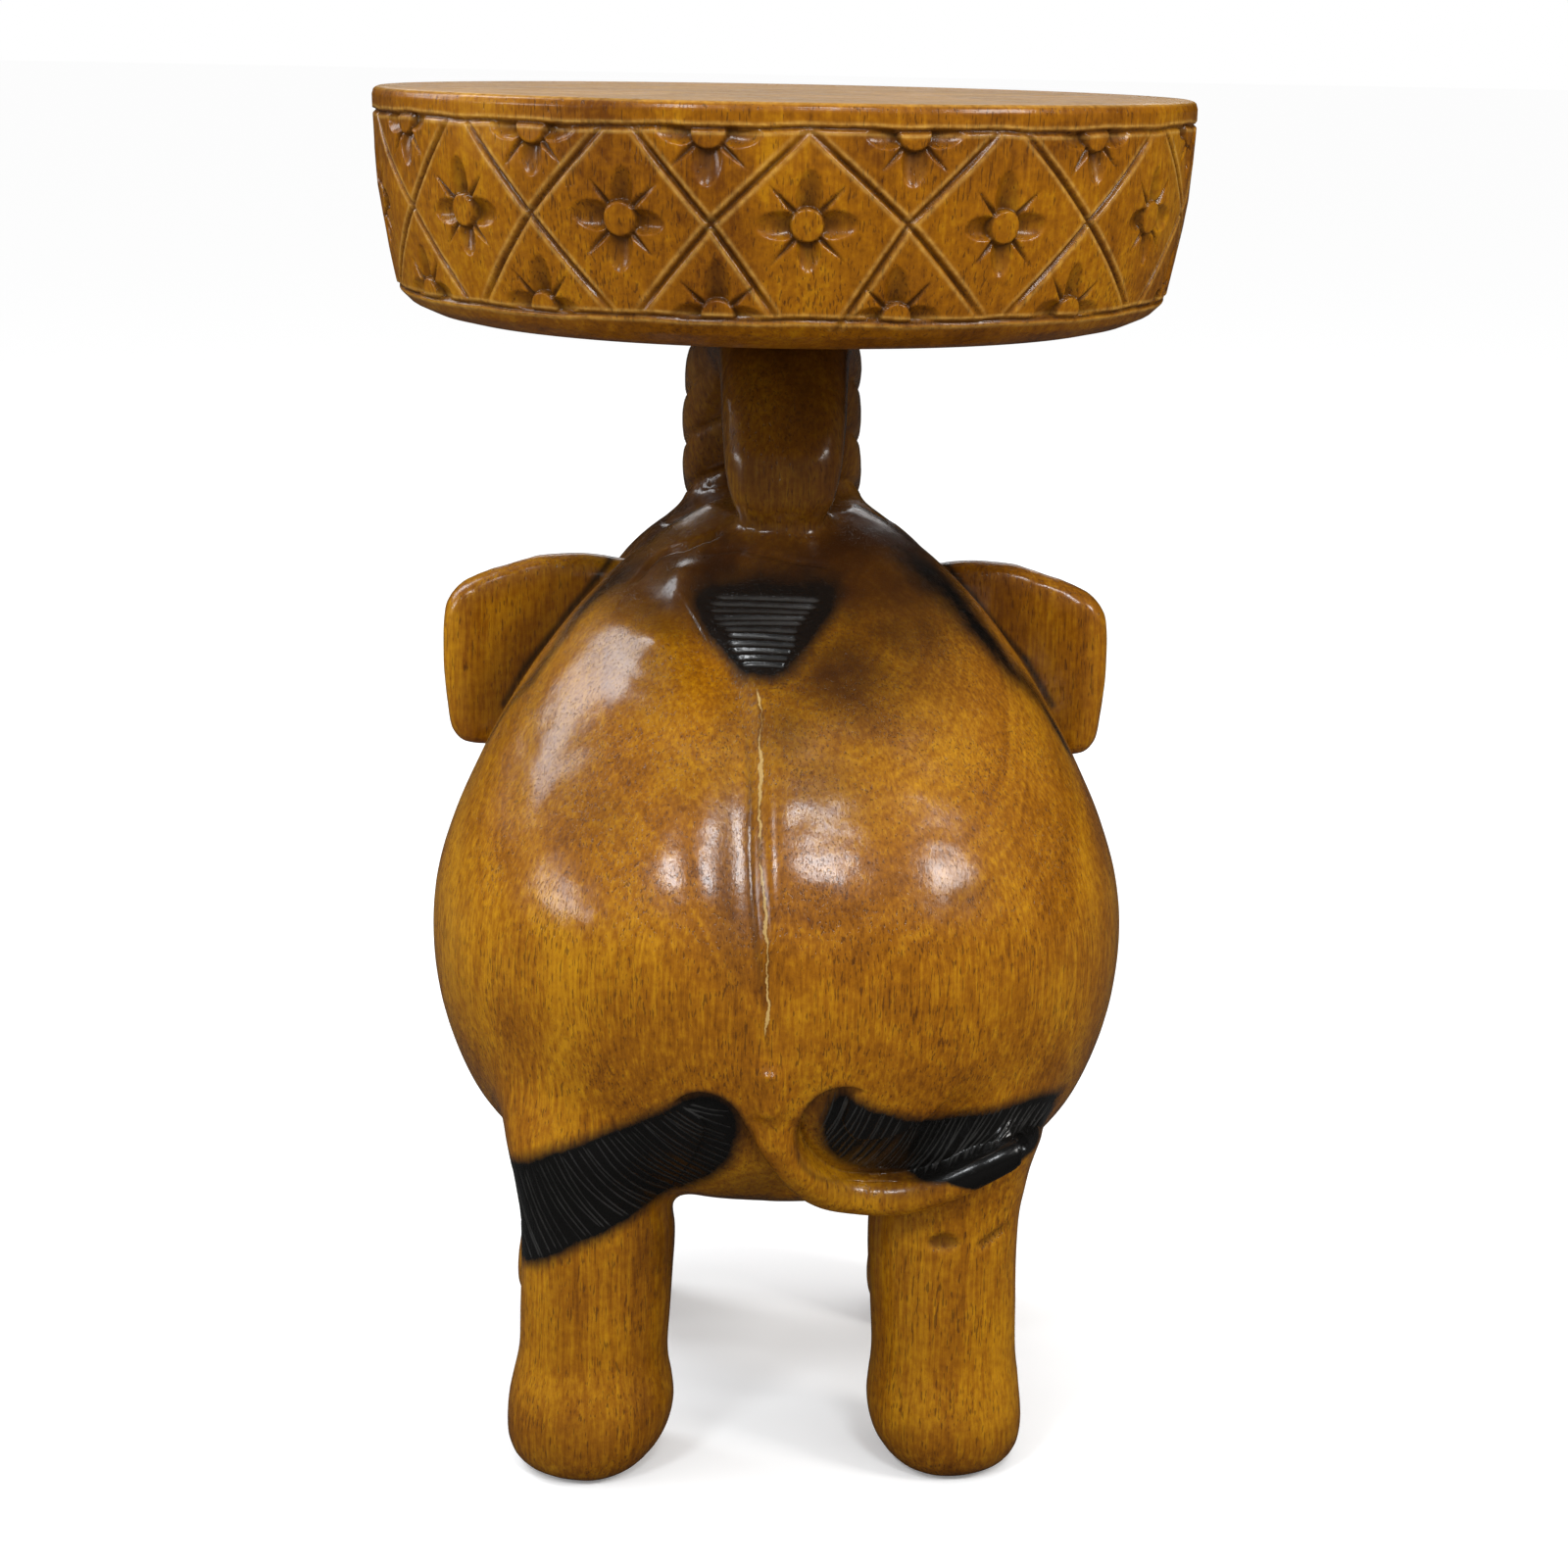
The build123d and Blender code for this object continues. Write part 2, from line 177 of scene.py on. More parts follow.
def line_distance(flat, line):
    """Distance to a line of straight stretches, the share of its length passed, and the side (left is positive).

    Points more than 45 mm off the line's own box count as far away.
    """
    line = np.asarray(line, float)
    best = np.full(len(flat), 1e3)
    passed = np.zeros(len(flat))
    side = np.ones(len(flat))
    close = np.flatnonzero(((flat > line.min(axis=0) - 45) & (flat < line.max(axis=0) + 45)).all(axis=1))
    spots = flat[close]
    near, share, hand = np.full(len(close), 1e3), np.zeros(len(close)), np.ones(len(close))
    lengths = np.linalg.norm(np.diff(line, axis=0), axis=1)
    start = np.concatenate([[0], np.cumsum(lengths)]) / lengths.sum()
    for k, (a, b) in enumerate(zip(line, line[1:])):
        along = np.clip((spots - a) @ (b - a) / max(lengths[k] ** 2, 1e-9), 0, 1)
        off = spots - (a + along[:, None] * (b - a))
        distance = np.sqrt((off**2).sum(axis=1))
        nearer = distance < near
        near[nearer] = distance[nearer]
        share[nearer] = (start[k] + along * (start[k + 1] - start[k]))[nearer]
        if flat.shape[1] == 2:
            cross = (b - a)[0] * (spots - a)[:, 1] - (b - a)[1] * (spots - a)[:, 0]
            hand[nearer] = np.sign(cross)[nearer]
    best[close], passed[close], side[close] = near, share, hand
    return best, passed, side


def region_depth(flat, outline):
    """How far inside a closed outline each point is. Outside it is negative."""
    outline = soft_outline(outline)
    inside = np.zeros(len(flat), bool)
    for a, b in zip(outline, np.roll(outline, -1, axis=0)):
        crosses = (a[1] > flat[:, 1]) != (b[1] > flat[:, 1])
        slope = (b[0] - a[0]) / (b[1] - a[1] if b[1] != a[1] else 1e-9)
        inside ^= crosses & (flat[:, 0] < a[0] + slope * (flat[:, 1] - a[1]))
    distance, _, _ = line_distance(flat, np.vstack([outline, outline[:1]]))
    return np.where(inside, distance, -distance)


def curve_point(line, share):
    """Points at shares of the length of a line of straight stretches."""
    line = np.asarray(line, float)
    lengths = np.linalg.norm(np.diff(line, axis=0), axis=1)
    passed = np.concatenate([[0], np.cumsum(lengths)]) / lengths.sum()
    return np.column_stack([np.interp(share, passed, line[:, k]) for k in range(line.shape[1])])


def rounded(line, count=60):
    """A smooth curve through the points of a line."""
    line = np.asarray(line, float)
    for _ in range(3):
        cut = [line[:1]]
        for a, b in zip(line, line[1:]):
            cut.append(np.array([0.75 * a + 0.25 * b, 0.25 * a + 0.75 * b]))
        cut.append(line[-1:])
        line = np.vstack(cut)
    return curve_point(line, np.linspace(0, 1, count))


def soft_outline(outline):
    """A closed outline with its corners rounded off."""
    outline = np.asarray(outline, float)
    for _ in range(3):
        after = np.roll(outline, -1, axis=0)
        outline = np.stack([0.75 * outline + 0.25 * after, 0.25 * outline + 0.75 * after], axis=1).reshape(-1, 2)
    return outline


def v_cut(distance, half_width, depth):
    """Depth of a V groove."""
    return depth * np.clip(1 - distance / half_width, 0, 1)


def strokes(flat, start, end, count, half_width, depth, bow, wobble):
    """Depth of a row of tool strokes that run from one line to another. bow bends them, wobble scatters them."""
    shares = (np.arange(count) + 0.5) / count + wobble * chance.uniform(-0.2, 0.2, count) / count
    deep = np.zeros(len(flat))
    for a, b in zip(curve_point(start, shares), curve_point(end, shares)):
        a = a + wobble * chance.uniform(-1.2, 1.2, 2)
        b = b + wobble * chance.uniform(-1.5, 1.5, 2)
        across = np.array([-(b - a)[1], (b - a)[0]])
        line = [a, 0.5 * (a + b) + bow * across, b]
        low = np.minimum(a, b) - 4
        high = np.maximum(a, b) + 4
        near = np.flatnonzero(((flat > low) & (flat < high)).all(axis=1))
        distance, passed, _ = line_distance(flat[near], rounded(line, 7))
        ends = rise(passed, 0, 0.12) * rise(1 - passed, 0, 0.08)
        cut = v_cut(distance, half_width, depth * chance.uniform(0.75, 1.1)) * (0.25 + 0.75 * ends)
        deep[near] = np.maximum(deep[near], cut)
    return deep


# ---------------------------------------------------------------- layout of the carving, as seen from behind

NAPE_PATCH = [(-29, 327), (22, 329), (23, 321), (15, 311), (6, 299), (-11, 299), (-19, 307), (-30, 316)]
NAPE_LEFT = [(-22, 322.5), (-26, 319), (-24, 315.5), (-18, 312), (-17, 308.5), (-14, 305), (-11, 302)]
NAPE_RIGHT = [(18, 323), (15, 319), (11, 315.5), (9, 312), (8.5, 308.5), (6, 305), (4, 302)]

LEFT_BAND_TOP = [(-24, 157), (-37, 151.5), (-49, 144), (-61, 138), (-73, 132), (-82, 127), (-89, 119), (-97, 112)]
LEFT_BAND_FOOT = [(-14, 154), (-12, 145), (-11, 135), (-16, 127), (-24, 117), (-33, 111), (-43, 106), (-54, 102)]
LEFT_BAND_FOOT += [(-63, 97), (-76, 89), (-86, 80)]
LEFT_BAND = [(-30, 158), (-20, 161), (-12, 158), (-8, 150), (-9, 140), (-12, 130), (-23, 118), (-43, 106), (-63, 96)]
LEFT_BAND += [(-76, 88), (-90, 78), (-101, 84), (-102, 108), (-96, 118), (-84, 127), (-73, 133), (-61, 138)]
LEFT_BAND += [(-48, 145), (-38, 152)]
LEFT_RIM = [(-33, 155), (-30.5, 158.5), (-27, 161), (-22.7, 162.3), (-17.9, 161.7), (-13.7, 159.6), (-10.3, 156.6)]
LEFT_RIM += [(-8, 152.5), (-6.1, 147.6), (-3.3, 141.8), (1.3, 135), (5.5, 128), (10, 121), (16, 115)]

RIGHT_BAND_TOP = [(22, 162), (30, 161), (39, 156), (54, 149), (71, 148), (90, 148), (112, 140)]
RIGHT_BAND_FOOT = [(19, 148), (22, 138), (28, 130), (39, 123), (55, 121), (76, 131), (97, 136)]
RIGHT_BAND = [(24, 161), (30, 161), (38, 156), (54, 149), (71, 147), (90, 149), (104, 147), (117, 138), (108, 131)]
RIGHT_BAND += [(92, 136), (78, 133), (68, 127), (56, 122), (40, 122), (28, 129), (21, 138), (19, 150)]
RIGHT_RIM = [(37, 162), (33.9, 164), (30.5, 165.2), (26.7, 165.4), (22, 164.5), (17.5, 161.6), (14, 156.8), (12, 151.3)]
RIGHT_RIM += [(11.3, 144.7), (12, 137.5), (15, 131), (20, 126), (27, 122.5), (37, 120.5), (48, 120.5), (58, 122.5)]
RIGHT_RIM += [(68, 127), (78, 132.5), (88, 135.5)]

# The tail's crest: x, y and z, and its radius there.
TAIL = [(2.5, -139, 170, 9), (2.5, -137, 150, 8), (4, -135.5, 142, 7.5), (7, -132.5, 136, 7.5), (10.5, -129, 130, 7.5)]
TAIL += [(15.5, -124, 124, 7.5), (23, -118, 117.5, 7.5), (33, -113, 114, 7), (43, -112, 113, 7)]
TAIL += [(54, -114, 115, 7), (66, -117, 120.5, 6.5), (78, -117, 127, 6.3), (88, -113, 131, 5.8), (94, -108, 133, 5)]
TAIL_LINE = [(x, z) for x, y, z, radius in TAIL]

# The roots of the ears on the body, from the top down.
LEFT_ROOT = [(-62, -10, 322), (-68, -13, 314), (-78.5, -24, 301), (-89, -30, 287), (-99, -22, 274), (-107, -21, 260)]
RIGHT_ROOT = [(60, -14, 326), (64, -17, 321), (76, -27, 308), (87, -32, 294.5), (99, -23, 281.5), (110, -26, 264)]

COLLAR = [(-57, -20, 320.5), (-52.6, -19.5, 323.8), (-46.4, -12.7, 329.1), (-40.3, -11.2, 332.6), (-33.5, -14, 334)]
COLLAR += [(-30.7, -13.3, 336.1), (-24.6, -12.8, 338), (-18.5, -8.7, 340.8)]
FOLD = [(-28.9, -23.3, 332.6), (-20.6, -23.3, 335), (-11.6, -24.7, 336.1), (-6.1, -28.3, 335), (8.4, -33.1, 332.8)]
FOLD += [(17.4, -33.2, 331.9), (24.7, -33.8, 330.3)]

VALLEY = [(-22, 307), (-15, 299), (-9.5, 285), (-7.3, 267), (-7.5, 252), (-6.5, 237), (-4.4, 219), (-2.2, 205), (0, 190)]
CRACK = [(-6.4, 297), (-3.8, 289), (-3.9, 271), (-4.2, 254), (-2.2, 240), (-0.9, 227), (0.1, 208), (0.7, 195), (-0.3, 184)]

# ---------------------------------------------------------------- the carved log


def broad_forms(spots, normals):
    """Movement along the normal for the rump's two rounds, the neck's folds, the trunk's wrinkles and the dents."""
    x, y, z = spots.T
    behind = rise(-y, -10, 20) * rise(-normals[:, 1], -0.45, -0.1)
    move = np.zeros(len(spots))
    for cx, cz, wide, tall, high in [
        (-62, 226, 38, 34, 2.2),
        (58, 222, 38, 34, 2.0),
        (-52, 292, 20, 16, 1.8),
        (-72, 262, 16, 20, 1.2),
        (44, 300, 24, 18, 1.2),
    ]:
        move += high * np.exp(-(((x - cx) / wide) ** 2) - ((z - cz) / tall) ** 2) * behind
    for spot, wide, high in [((-32, -35, 326.5), 9, 4.2), ((-37, -48, 317), 8, 2.0), ((-38, -64, 307), 11, 2.8)]:
        move += high * np.exp(-(((spots - spot) / wide) ** 2).sum(axis=1))
    for line, wide, high in [
        ([(-80, 292), (-64, 311), (-44, 309), (-29, 296)], 7.0, 1.8),
        ([(-62, 326), (-44, 319), (-31, 309), (-22, 300)], 5.5, -1.8),
        ([(36, 326), (26, 318), (40, 306), (58, 300)], 8.0, -0.9),
    ]:
        distance, passed, _ = line_distance(spots[:, [0, 2]], rounded(line))
        ends = np.sin(np.pi * np.clip(passed, 0.02, 0.98)) ** 0.5
        move += high * np.exp(-((distance / wide) ** 2)) * ends * behind
    dents = [(chance.uniform(-125, 130), chance.uniform(-140, 60), chance.uniform(40, 330), 12, 24) for _ in range(110)]
    dents += [(chance.uniform(-105, -15), chance.uniform(-120, -10), chance.uniform(235, 330), 7, 13) for _ in range(45)]
    for *spot, low, high in dents:
        wide = chance.uniform(low, high)
        move += chance.uniform(-0.95, 0.75) * np.exp(-(((spots - spot) / wide) ** 2).sum(axis=1))
    return move


def carve_back(spots, normals):
    """Relief of the back and hind legs.

    It returns movement along the normal, movement forwards into the log, values for the finish, and where the wood is
    nicked or darkened, mostly by painted shade in its creases and hollows.
    """
    flat = spots[:, [0, 2]]
    x, z = flat.T
    behind = rise(-spots[:, 1], -10, 20) * rise(-normals[:, 1], -0.45, -0.1)
    move = np.zeros(len(spots))
    push = np.zeros(len(spots))
    black = np.zeros(len(spots))
    stroke = np.zeros(len(spots))

    for line, depth, wide in [(COLLAR, 2.2, 2.0), (FOLD, 1.2, 2.2)]:
        distance, passed, _ = line_distance(spots, line)
        ends = rise(passed, 0, 0.15) * rise(1 - passed, 0, 0.15)
        move -= depth * np.exp(-((distance / wide) ** 2)) * ends
    distance, passed, side = line_distance(flat, rounded(CRACK))
    crack_side = np.clip(distance * side, -20, 20)
    crack_part = rise(passed, 0, 0.03) * rise(1 - passed, 0, 0.03) * behind

    # The valley down the back: a long slope from the left, and a short one from the right.
    distance, passed, side = line_distance(flat, rounded(VALLEY))
    across = distance * side
    ends = np.sin(np.pi * np.clip(passed, 0.02, 0.98)) ** 0.6
    move -= 5.4 * np.exp(-((across / np.where(across > 0, 5.0, 14.0)) ** 2)) * ends * behind
    # Painted shade: a dark line along the valley's crease, and a darker band on its long left slope.
    shade_and_smoke = ends * (0.6 * np.exp(-((distance / 1.4) ** 2)) + 0.35 * np.exp(-(((across + 8) / 7) ** 2)))

    # The tail's line, with what lies on it.
    along, passed_tail, above = line_distance(flat, rounded(TAIL_LINE, 80))
    above = along * above
    half = curve_point(TAIL, passed_tail)[:, 3]
    off_tail = rise(along - half, -1.5, 1.0)

    # Scorched, feathered patches: the nape, the left thigh, and the hollow right of the tail.
    for top, foot, outline, count, half_width, depth, bow, wobble, fade in [
        (NAPE_LEFT, NAPE_RIGHT, NAPE_PATCH, 11, 1.0, 0.9, 0.02, 0.3, 6.0),
        (LEFT_BAND_TOP, LEFT_BAND_FOOT, LEFT_BAND, 38, 0.6, 0.5, -0.06, 1.0, 6.5),
        (RIGHT_BAND_TOP, RIGHT_BAND_FOOT, RIGHT_BAND, 38, 0.6, 0.45, 0.05, 1.0, 6.5),
    ]:
        deep = strokes(flat, top, foot, count, half_width, depth, bow, wobble) * off_tail
        soft = fade * (1 + 1.2 * rise(z, 318, 330))
        round_leg = np.maximum(rise(-spots[:, 1], 56, 78), rise(z, 180, 190))
        inner = rise(region_depth(flat, outline) / soft, -0.9, 0.6)
        black = np.maximum(black, inner * round_leg * off_tail * behind)
        stroke = np.maximum(stroke, deep / depth * behind)
        move -= deep * behind

    # A crisp arched cut left of the tail, which fades out across the thigh, and the scoop right of it.
    # Each rim gets painted shade: a dark line along its edge, and a darker hollow inside its cut.
    distance, passed, side = line_distance(flat, rounded(LEFT_RIM, 90))
    ends = rise(passed, 0.0, 0.16) * rise(1 - passed, 0, 0.10) * behind
    cut = np.exp(-distance / 11.0) * rise(-side * distance, -0.2, 0.7) * ends
    push += 5.5 * cut
    shade_and_smoke = np.maximum(shade_and_smoke, ends * np.maximum(0.75 * np.exp(-((distance / 1.3) ** 2)), 0.45 * cut))
    distance, passed, side = line_distance(flat, rounded(RIGHT_RIM, 110))
    ends = rise(passed, 0.0, 0.10) * rise(1 - passed, 0, 0.12) * behind
    cut = np.exp(-distance / 16.0) * rise(side * distance, -0.2, 0.8) * ends
    push += 7.0 * cut * off_tail
    shade_and_smoke = np.maximum(shade_and_smoke, ends * np.maximum(0.75 * np.exp(-((distance / 1.3) ** 2)), 0.5 * cut))

    # The tail's upper side is darkened, and its tip is black, with a painted shadow on the leg just below the tip.
    low = np.interp(passed_tail, [0.40, 0.66, 0.78, 0.86, 1], [9.0, 7.0, 1.5, -9, -12])
    tip = rise(passed_tail, 0.40, 0.55) * rise(above - low, -1.5, 2.5) * rise(half + 4 - along, 0, 4)
    black = np.maximum(black, tip * rise(-spots[:, 1], 60, 80))
    shade = rise(passed_tail, 0.3, 0.5) * rise(1 - passed_tail, 0.05, 0.2) * rise(above, -4, 6) * (along < half + 2)
    shade_and_smoke = np.maximum(shade_and_smoke, 0.6 * shade)

    # Two small nicks on the right leg.
    distance, passed, _ = line_distance(flat, [(91, 99), (84, 95.5), (77, 91.5)])
    slant = v_cut(distance, 2.6, 1.0) * rise(passed, 0, 0.3) * rise(1 - passed, 0, 0.3)
    moon = region_depth(flat, [(58, 94), (63, 99), (69, 98.5), (73, 94.5), (69, 91.5), (62, 91)])
    nick = np.maximum(slant, rise(moon, -0.4, 1.8)) * behind
    move -= 1.7 * nick

    # Painted shade at the roots of the ears, where they meet the body. It is mixed into the same black as the char.
    for line, soft, most in ((RIGHT_ROOT, 16.0, 0.9), (LEFT_ROOT, 10.0, 0.75)):
        distance, passed, _ = line_distance(spots, line)
        near = np.exp(-((distance / (soft * (1.1 - 0.7 * passed))) ** 2))
        black = np.maximum(black, most * near)
    return move, push, {"char_and_shadow": black, "stroke": stroke, "crack_side": crack_side, "crack_part": crack_part}, nick, shade_and_smoke * behind


def carve_trunk(spots):
    """Wrinkles round the rising limb of the trunk."""
    x, y, z = spots.T
    limb = rise(y, 42, 56) * rise(z, 285, 315) * rise(48 - abs(x), 0, 8)
    height = z + 0.35 * (y - 90) + 2.2 * np.sin(0.11 * x) + 1.2 * np.sin(0.9 + 0.05 * z)
    phase = (height / 19.0) % 1
    crease = np.minimum(phase, 1 - phase) * 19.0
    return -1.7 * np.exp(-((crease / 1.7) ** 2)) * limb + 0.5 * rise(crease, 2, 8) * limb


def settle(spots):
    """Small corrections of the legs: broader towards the inside, and cut away under the inner side of the feet."""
    x, y, z = spots.T
    moved = spots.copy()
    for side, middle, front in ((-1, -63.8, -46), (1, 69.2, -46)):
        leg = rise(112 - z, 0, 20) * rise(front - y, 0, 12) * rise(42 - abs(x - middle), 0, 4)
        inner = np.clip(-side * (x - middle) / 28.0, 0, 1)
        fuller = np.interp(z, [0, 14, 40, 60, 95, 112], [1.0, 2.0, 2.2, 3.0, 4.0, 2.0]) * (1.0 if side < 0 else 0.75)
        cut = 8.5 * np.clip(1 - z / 27.0, 0, 1) ** 1.2 * (1.0 if side < 0 else 0.85)
        moved[:, 0] += -side * leg * inner * (fuller - cut)
    return moved


def detail_depth(spots):
    """How far inside the finely carved zones of the back each point is. Outside them it is negative."""
    flat = spots[:, [0, 2]]
    deep = np.full(len(spots), -99.0)
    for outline in (NAPE_PATCH, LEFT_BAND, RIGHT_BAND):
        deep = np.maximum(deep, region_depth(flat, outline))
    for line in (LEFT_RIM, RIGHT_RIM, TAIL_LINE):
        deep = np.maximum(deep, 9 - line_distance(flat, line)[0])
    return np.where(spots[:, 1] < -15, deep, -99.0)


def carved_log():
    """The elephant's own log: smooth skin, then broad forms, then every cut."""
    source = nodes["elephant"]
    plugs = [plug(source, nodes[name], 0.7) for name in nodes if name not in ("elephant", "seat")]
    mesh = wrapped([source.data, *plugs], 3.0)
    for one in plugs:
        bpy.data.meshes.remove(one)
    spots = places(mesh)
    tail_near = rise(12 - line_distance(spots[:, [0, 2]], TAIL_LINE)[0], 0, 5) * (spots[:, 1] < -60)
    trunk_near = np.maximum(rise(spots[:, 2], 332, 346), rise(spots[:, 1], 80, 100))
    relax(mesh, 90, 1 - 0.82 * np.maximum(tail_near, trunk_near))
    relax(mesh, 26, rise(places(mesh)[:, 2], 108, 128) * (1 - np.maximum(tail_near, trunk_near)), (0.5,))
    spots = places(mesh)
    hip = np.exp(-(((spots - (-92, -92, 150)) / (26, 40, 24)) ** 2).sum(axis=1))
    hip = np.maximum(hip, np.exp(-(((spots - (96, -84, 150)) / (20, 34, 20)) ** 2).sum(axis=1)))
    relax(mesh, 50, np.clip(1.4 * hip, 0, 1) * (1 - tail_near), (0.5,))
    spots = settle(places(mesh))
    normals = facing(mesh)
    put(mesh, spots + normals * broad_forms(spots, normals)[:, None])
    relax(mesh, 6)
    mesh = halved(mesh)
    mesh.name = "carved_elephant"
    for reach in (6.0, 2.5):
        refine(mesh, detail_depth(places(mesh)) > -reach)
        relax(mesh, 7, rise(detail_depth(places(mesh)), 1.0 - reach, 5.0 - reach))
    spots = places(mesh)
    line = [(x, y + radius, z, radius) for x, y, z, radius in TAIL]
    axis = rounded(line, 80)[:, :3]
    off_axis, passed, _ = line_distance(spots, axis)
    middle = curve_point(axis, passed)
    radius = np.interp(passed, np.linspace(0, 1, 80), rounded(line, 80)[:, 3])
    hold = rise(radius + 3.5 - off_axis, 0, 2.5) * rise(168 - spots[:, 2], 0, 26)
    outward = (spots - middle) / np.maximum(off_axis, 1e-6)[:, None]
    put(mesh, spots + outward * ((radius - off_axis) * hold)[:, None])
    relax(mesh, 5, hold)
    spots = places(mesh)
    normals = facing(mesh)
    move, push, values, nick, shade_and_smoke = carve_back(spots, normals)
    move += carve_trunk(spots)
    spots = spots + normals * move[:, None]
    spots[:, 1] += push
    spots[:, 2] = np.clip(spots[:, 2], 0, 418.0)
    put(mesh, spots)

    x, y, z = spots.T
    behind = rise(-y, -20, 10)
    brown = rise(z, 294, 322) * rise(88 - abs(x), 0, 38)
    brown = np.maximum(brown, 0.8 * rise(z, 326, 345)) * (1 - 0.3 * rise(z, 335, 350))
    for cx, cz, wide, tall, high in [
        (26, 302, 38, 22, 1.0),
        (6, 284, 14, 14, 0.8),
        (44, 312, 26, 18, 1.0),
        (-52, 304, 26, 20, 0.6),
        (-76, 272, 20, 24, 0.4),
        (-60, 255, 16, 12, 0.3),
        (-4, 112, 16, 14, 0.6),
        (66, 232, 10, 5, 0.25),
        (-14, 285, 9, 24, 0.35),
        (-10, 240, 6, 40, 0.3),
        (-30, 268, 26, 12, 0.25),
        (16, 268, 20, 20, 0.5),
    ]:
        brown = np.maximum(brown, high * np.exp(-(((x - cx) / wide) ** 2) - ((z - cz) / tall) ** 2) * behind)
    # Painted shade on the inner sides of the legs and under the belly.
    inside = rise(62 - abs(x), 0, 30) * rise(118 - z, 0, 30)
    brown = np.maximum(brown, 0.45 * inside)
    # Darker towards the feet.
    brown = np.maximum(brown, 0.12 * rise(110 - z, 0, 30) + 0.25 * rise(40 - z, 0, 36))
    # Darker in the nicks, then the painted shade of the creases and hollows.
    brown = np.maximum(brown, 0.8 * nick)
    brown = np.maximum(brown, shade_and_smoke)
    values["stain_and_shade"] = np.clip(brown, 0, 1)
    for name, value in values.items():
        keep_value(mesh, name, value)
    return new_piece("carved_elephant", mesh, ["elephant"])


# ---------------------------------------------------------------- the carved seat

SEAT_R = 150.0
SEAT_TOP = 500.0
SEAT_FOOT = 418.0
TOP_GROOVE = 491.8
LOW_GROOVE = 430.0
MIDDLE = 461.5
FLOWERS = [-76.0, -47.0, -21.0, 3.4, 30.3, 60.2, 88.2, 116.2, 144.1, 172.1, 200.1, 228.0, 256.0]
CROSSINGS = [-60.0, -34.4, -8.9, 16.5, 44.8]
ROUND = 146.5


def rim_radius(z):
    """The seat's radius at a height, before any cut."""
    return np.interp(z, [418, 418.6, 420.5, 424, 428, 431, 443, 455, 465, 478, 492, 497.2, 499.2, 500],
                     [112, 119.5, 128, 136, 140.2, 141.6, 144.2, 146.4, 148, 149.1, 149.7, 149.8, 149.2, 147.9])


def petal(dx, dz, angle, length, wide, depth, sharp, button):
    """Depth of one gouged petal that starts at the button's edge and runs out at an angle."""
    c, s = math.cos(angle), math.sin(angle)
    out = (dx * c + dz * s - 0.8 * button) / length
    across = np.abs(-dx * s + dz * c)
    t = np.clip(out, 0, 1)
    if sharp:
        half = wide * (1 - t) ** 0.75 + 1e-6
        deep = depth * (1 - t) ** 0.7 * np.clip(1 - across / half, 0, 1)
    else:
        half = wide * np.sqrt(np.clip(1 - (1.45 * t - 0.45) ** 2, 0, 1)) + 1e-6
        deep = depth * (1 - t) ** 0.6 * np.clip(1 - (across / half) ** 2, 0, 1) ** 0.8
    return np.where((out > 0) & (out < 1), deep, 0)


def flower(s, z, s0, z0):
    """Depth and shade of one carved flower: a round button, four broad petals, four narrow cuts between them."""
    near = np.flatnonzero((abs(s - s0) < 21) & (abs(z - z0) < 21))
    dx = s[near] - s0
    dz = z[near] - z0
    button = 5.7 * chance.uniform(0.95, 1.06)
    turn = chance.uniform(-0.06, 0.06)
    deep = np.zeros(len(near))
    shade = np.zeros(len(near))
    for k in range(8):
        angle = turn + k * math.pi / 4 + chance.uniform(-0.07, 0.07)
        scale = chance.uniform(0.9, 1.1)
        if k % 2:
            cut = petal(dx, dz, angle, 13.5 * scale, 1.7, 2.4, True, button)
            shade = np.maximum(shade, 0.85 * rise(cut, 0.1, 1.2))
        else:
            cut = petal(dx, dz, angle, (13.8 if k == 2 else 12.0) * scale, 4.6 * scale, 3.6, False, button)
            shade = np.maximum(shade, 0.30 * rise(cut, 0.2, 1.2) + 0.45 * rise(cut, 1.6, 3.4))
        deep = np.maximum(deep, cut)
    ring = np.hypot(dx, dz)
    outside = rise(ring, button - 0.25, button + 0.35)
    deep = np.maximum(deep * outside, v_cut(abs(ring - button - 0.3), 0.8, 0.7))
    shade = np.maximum(shade * outside, 0.75 * rise(1.1 - abs(ring - button - 0.4), 0, 0.9))
    return near, deep, shade


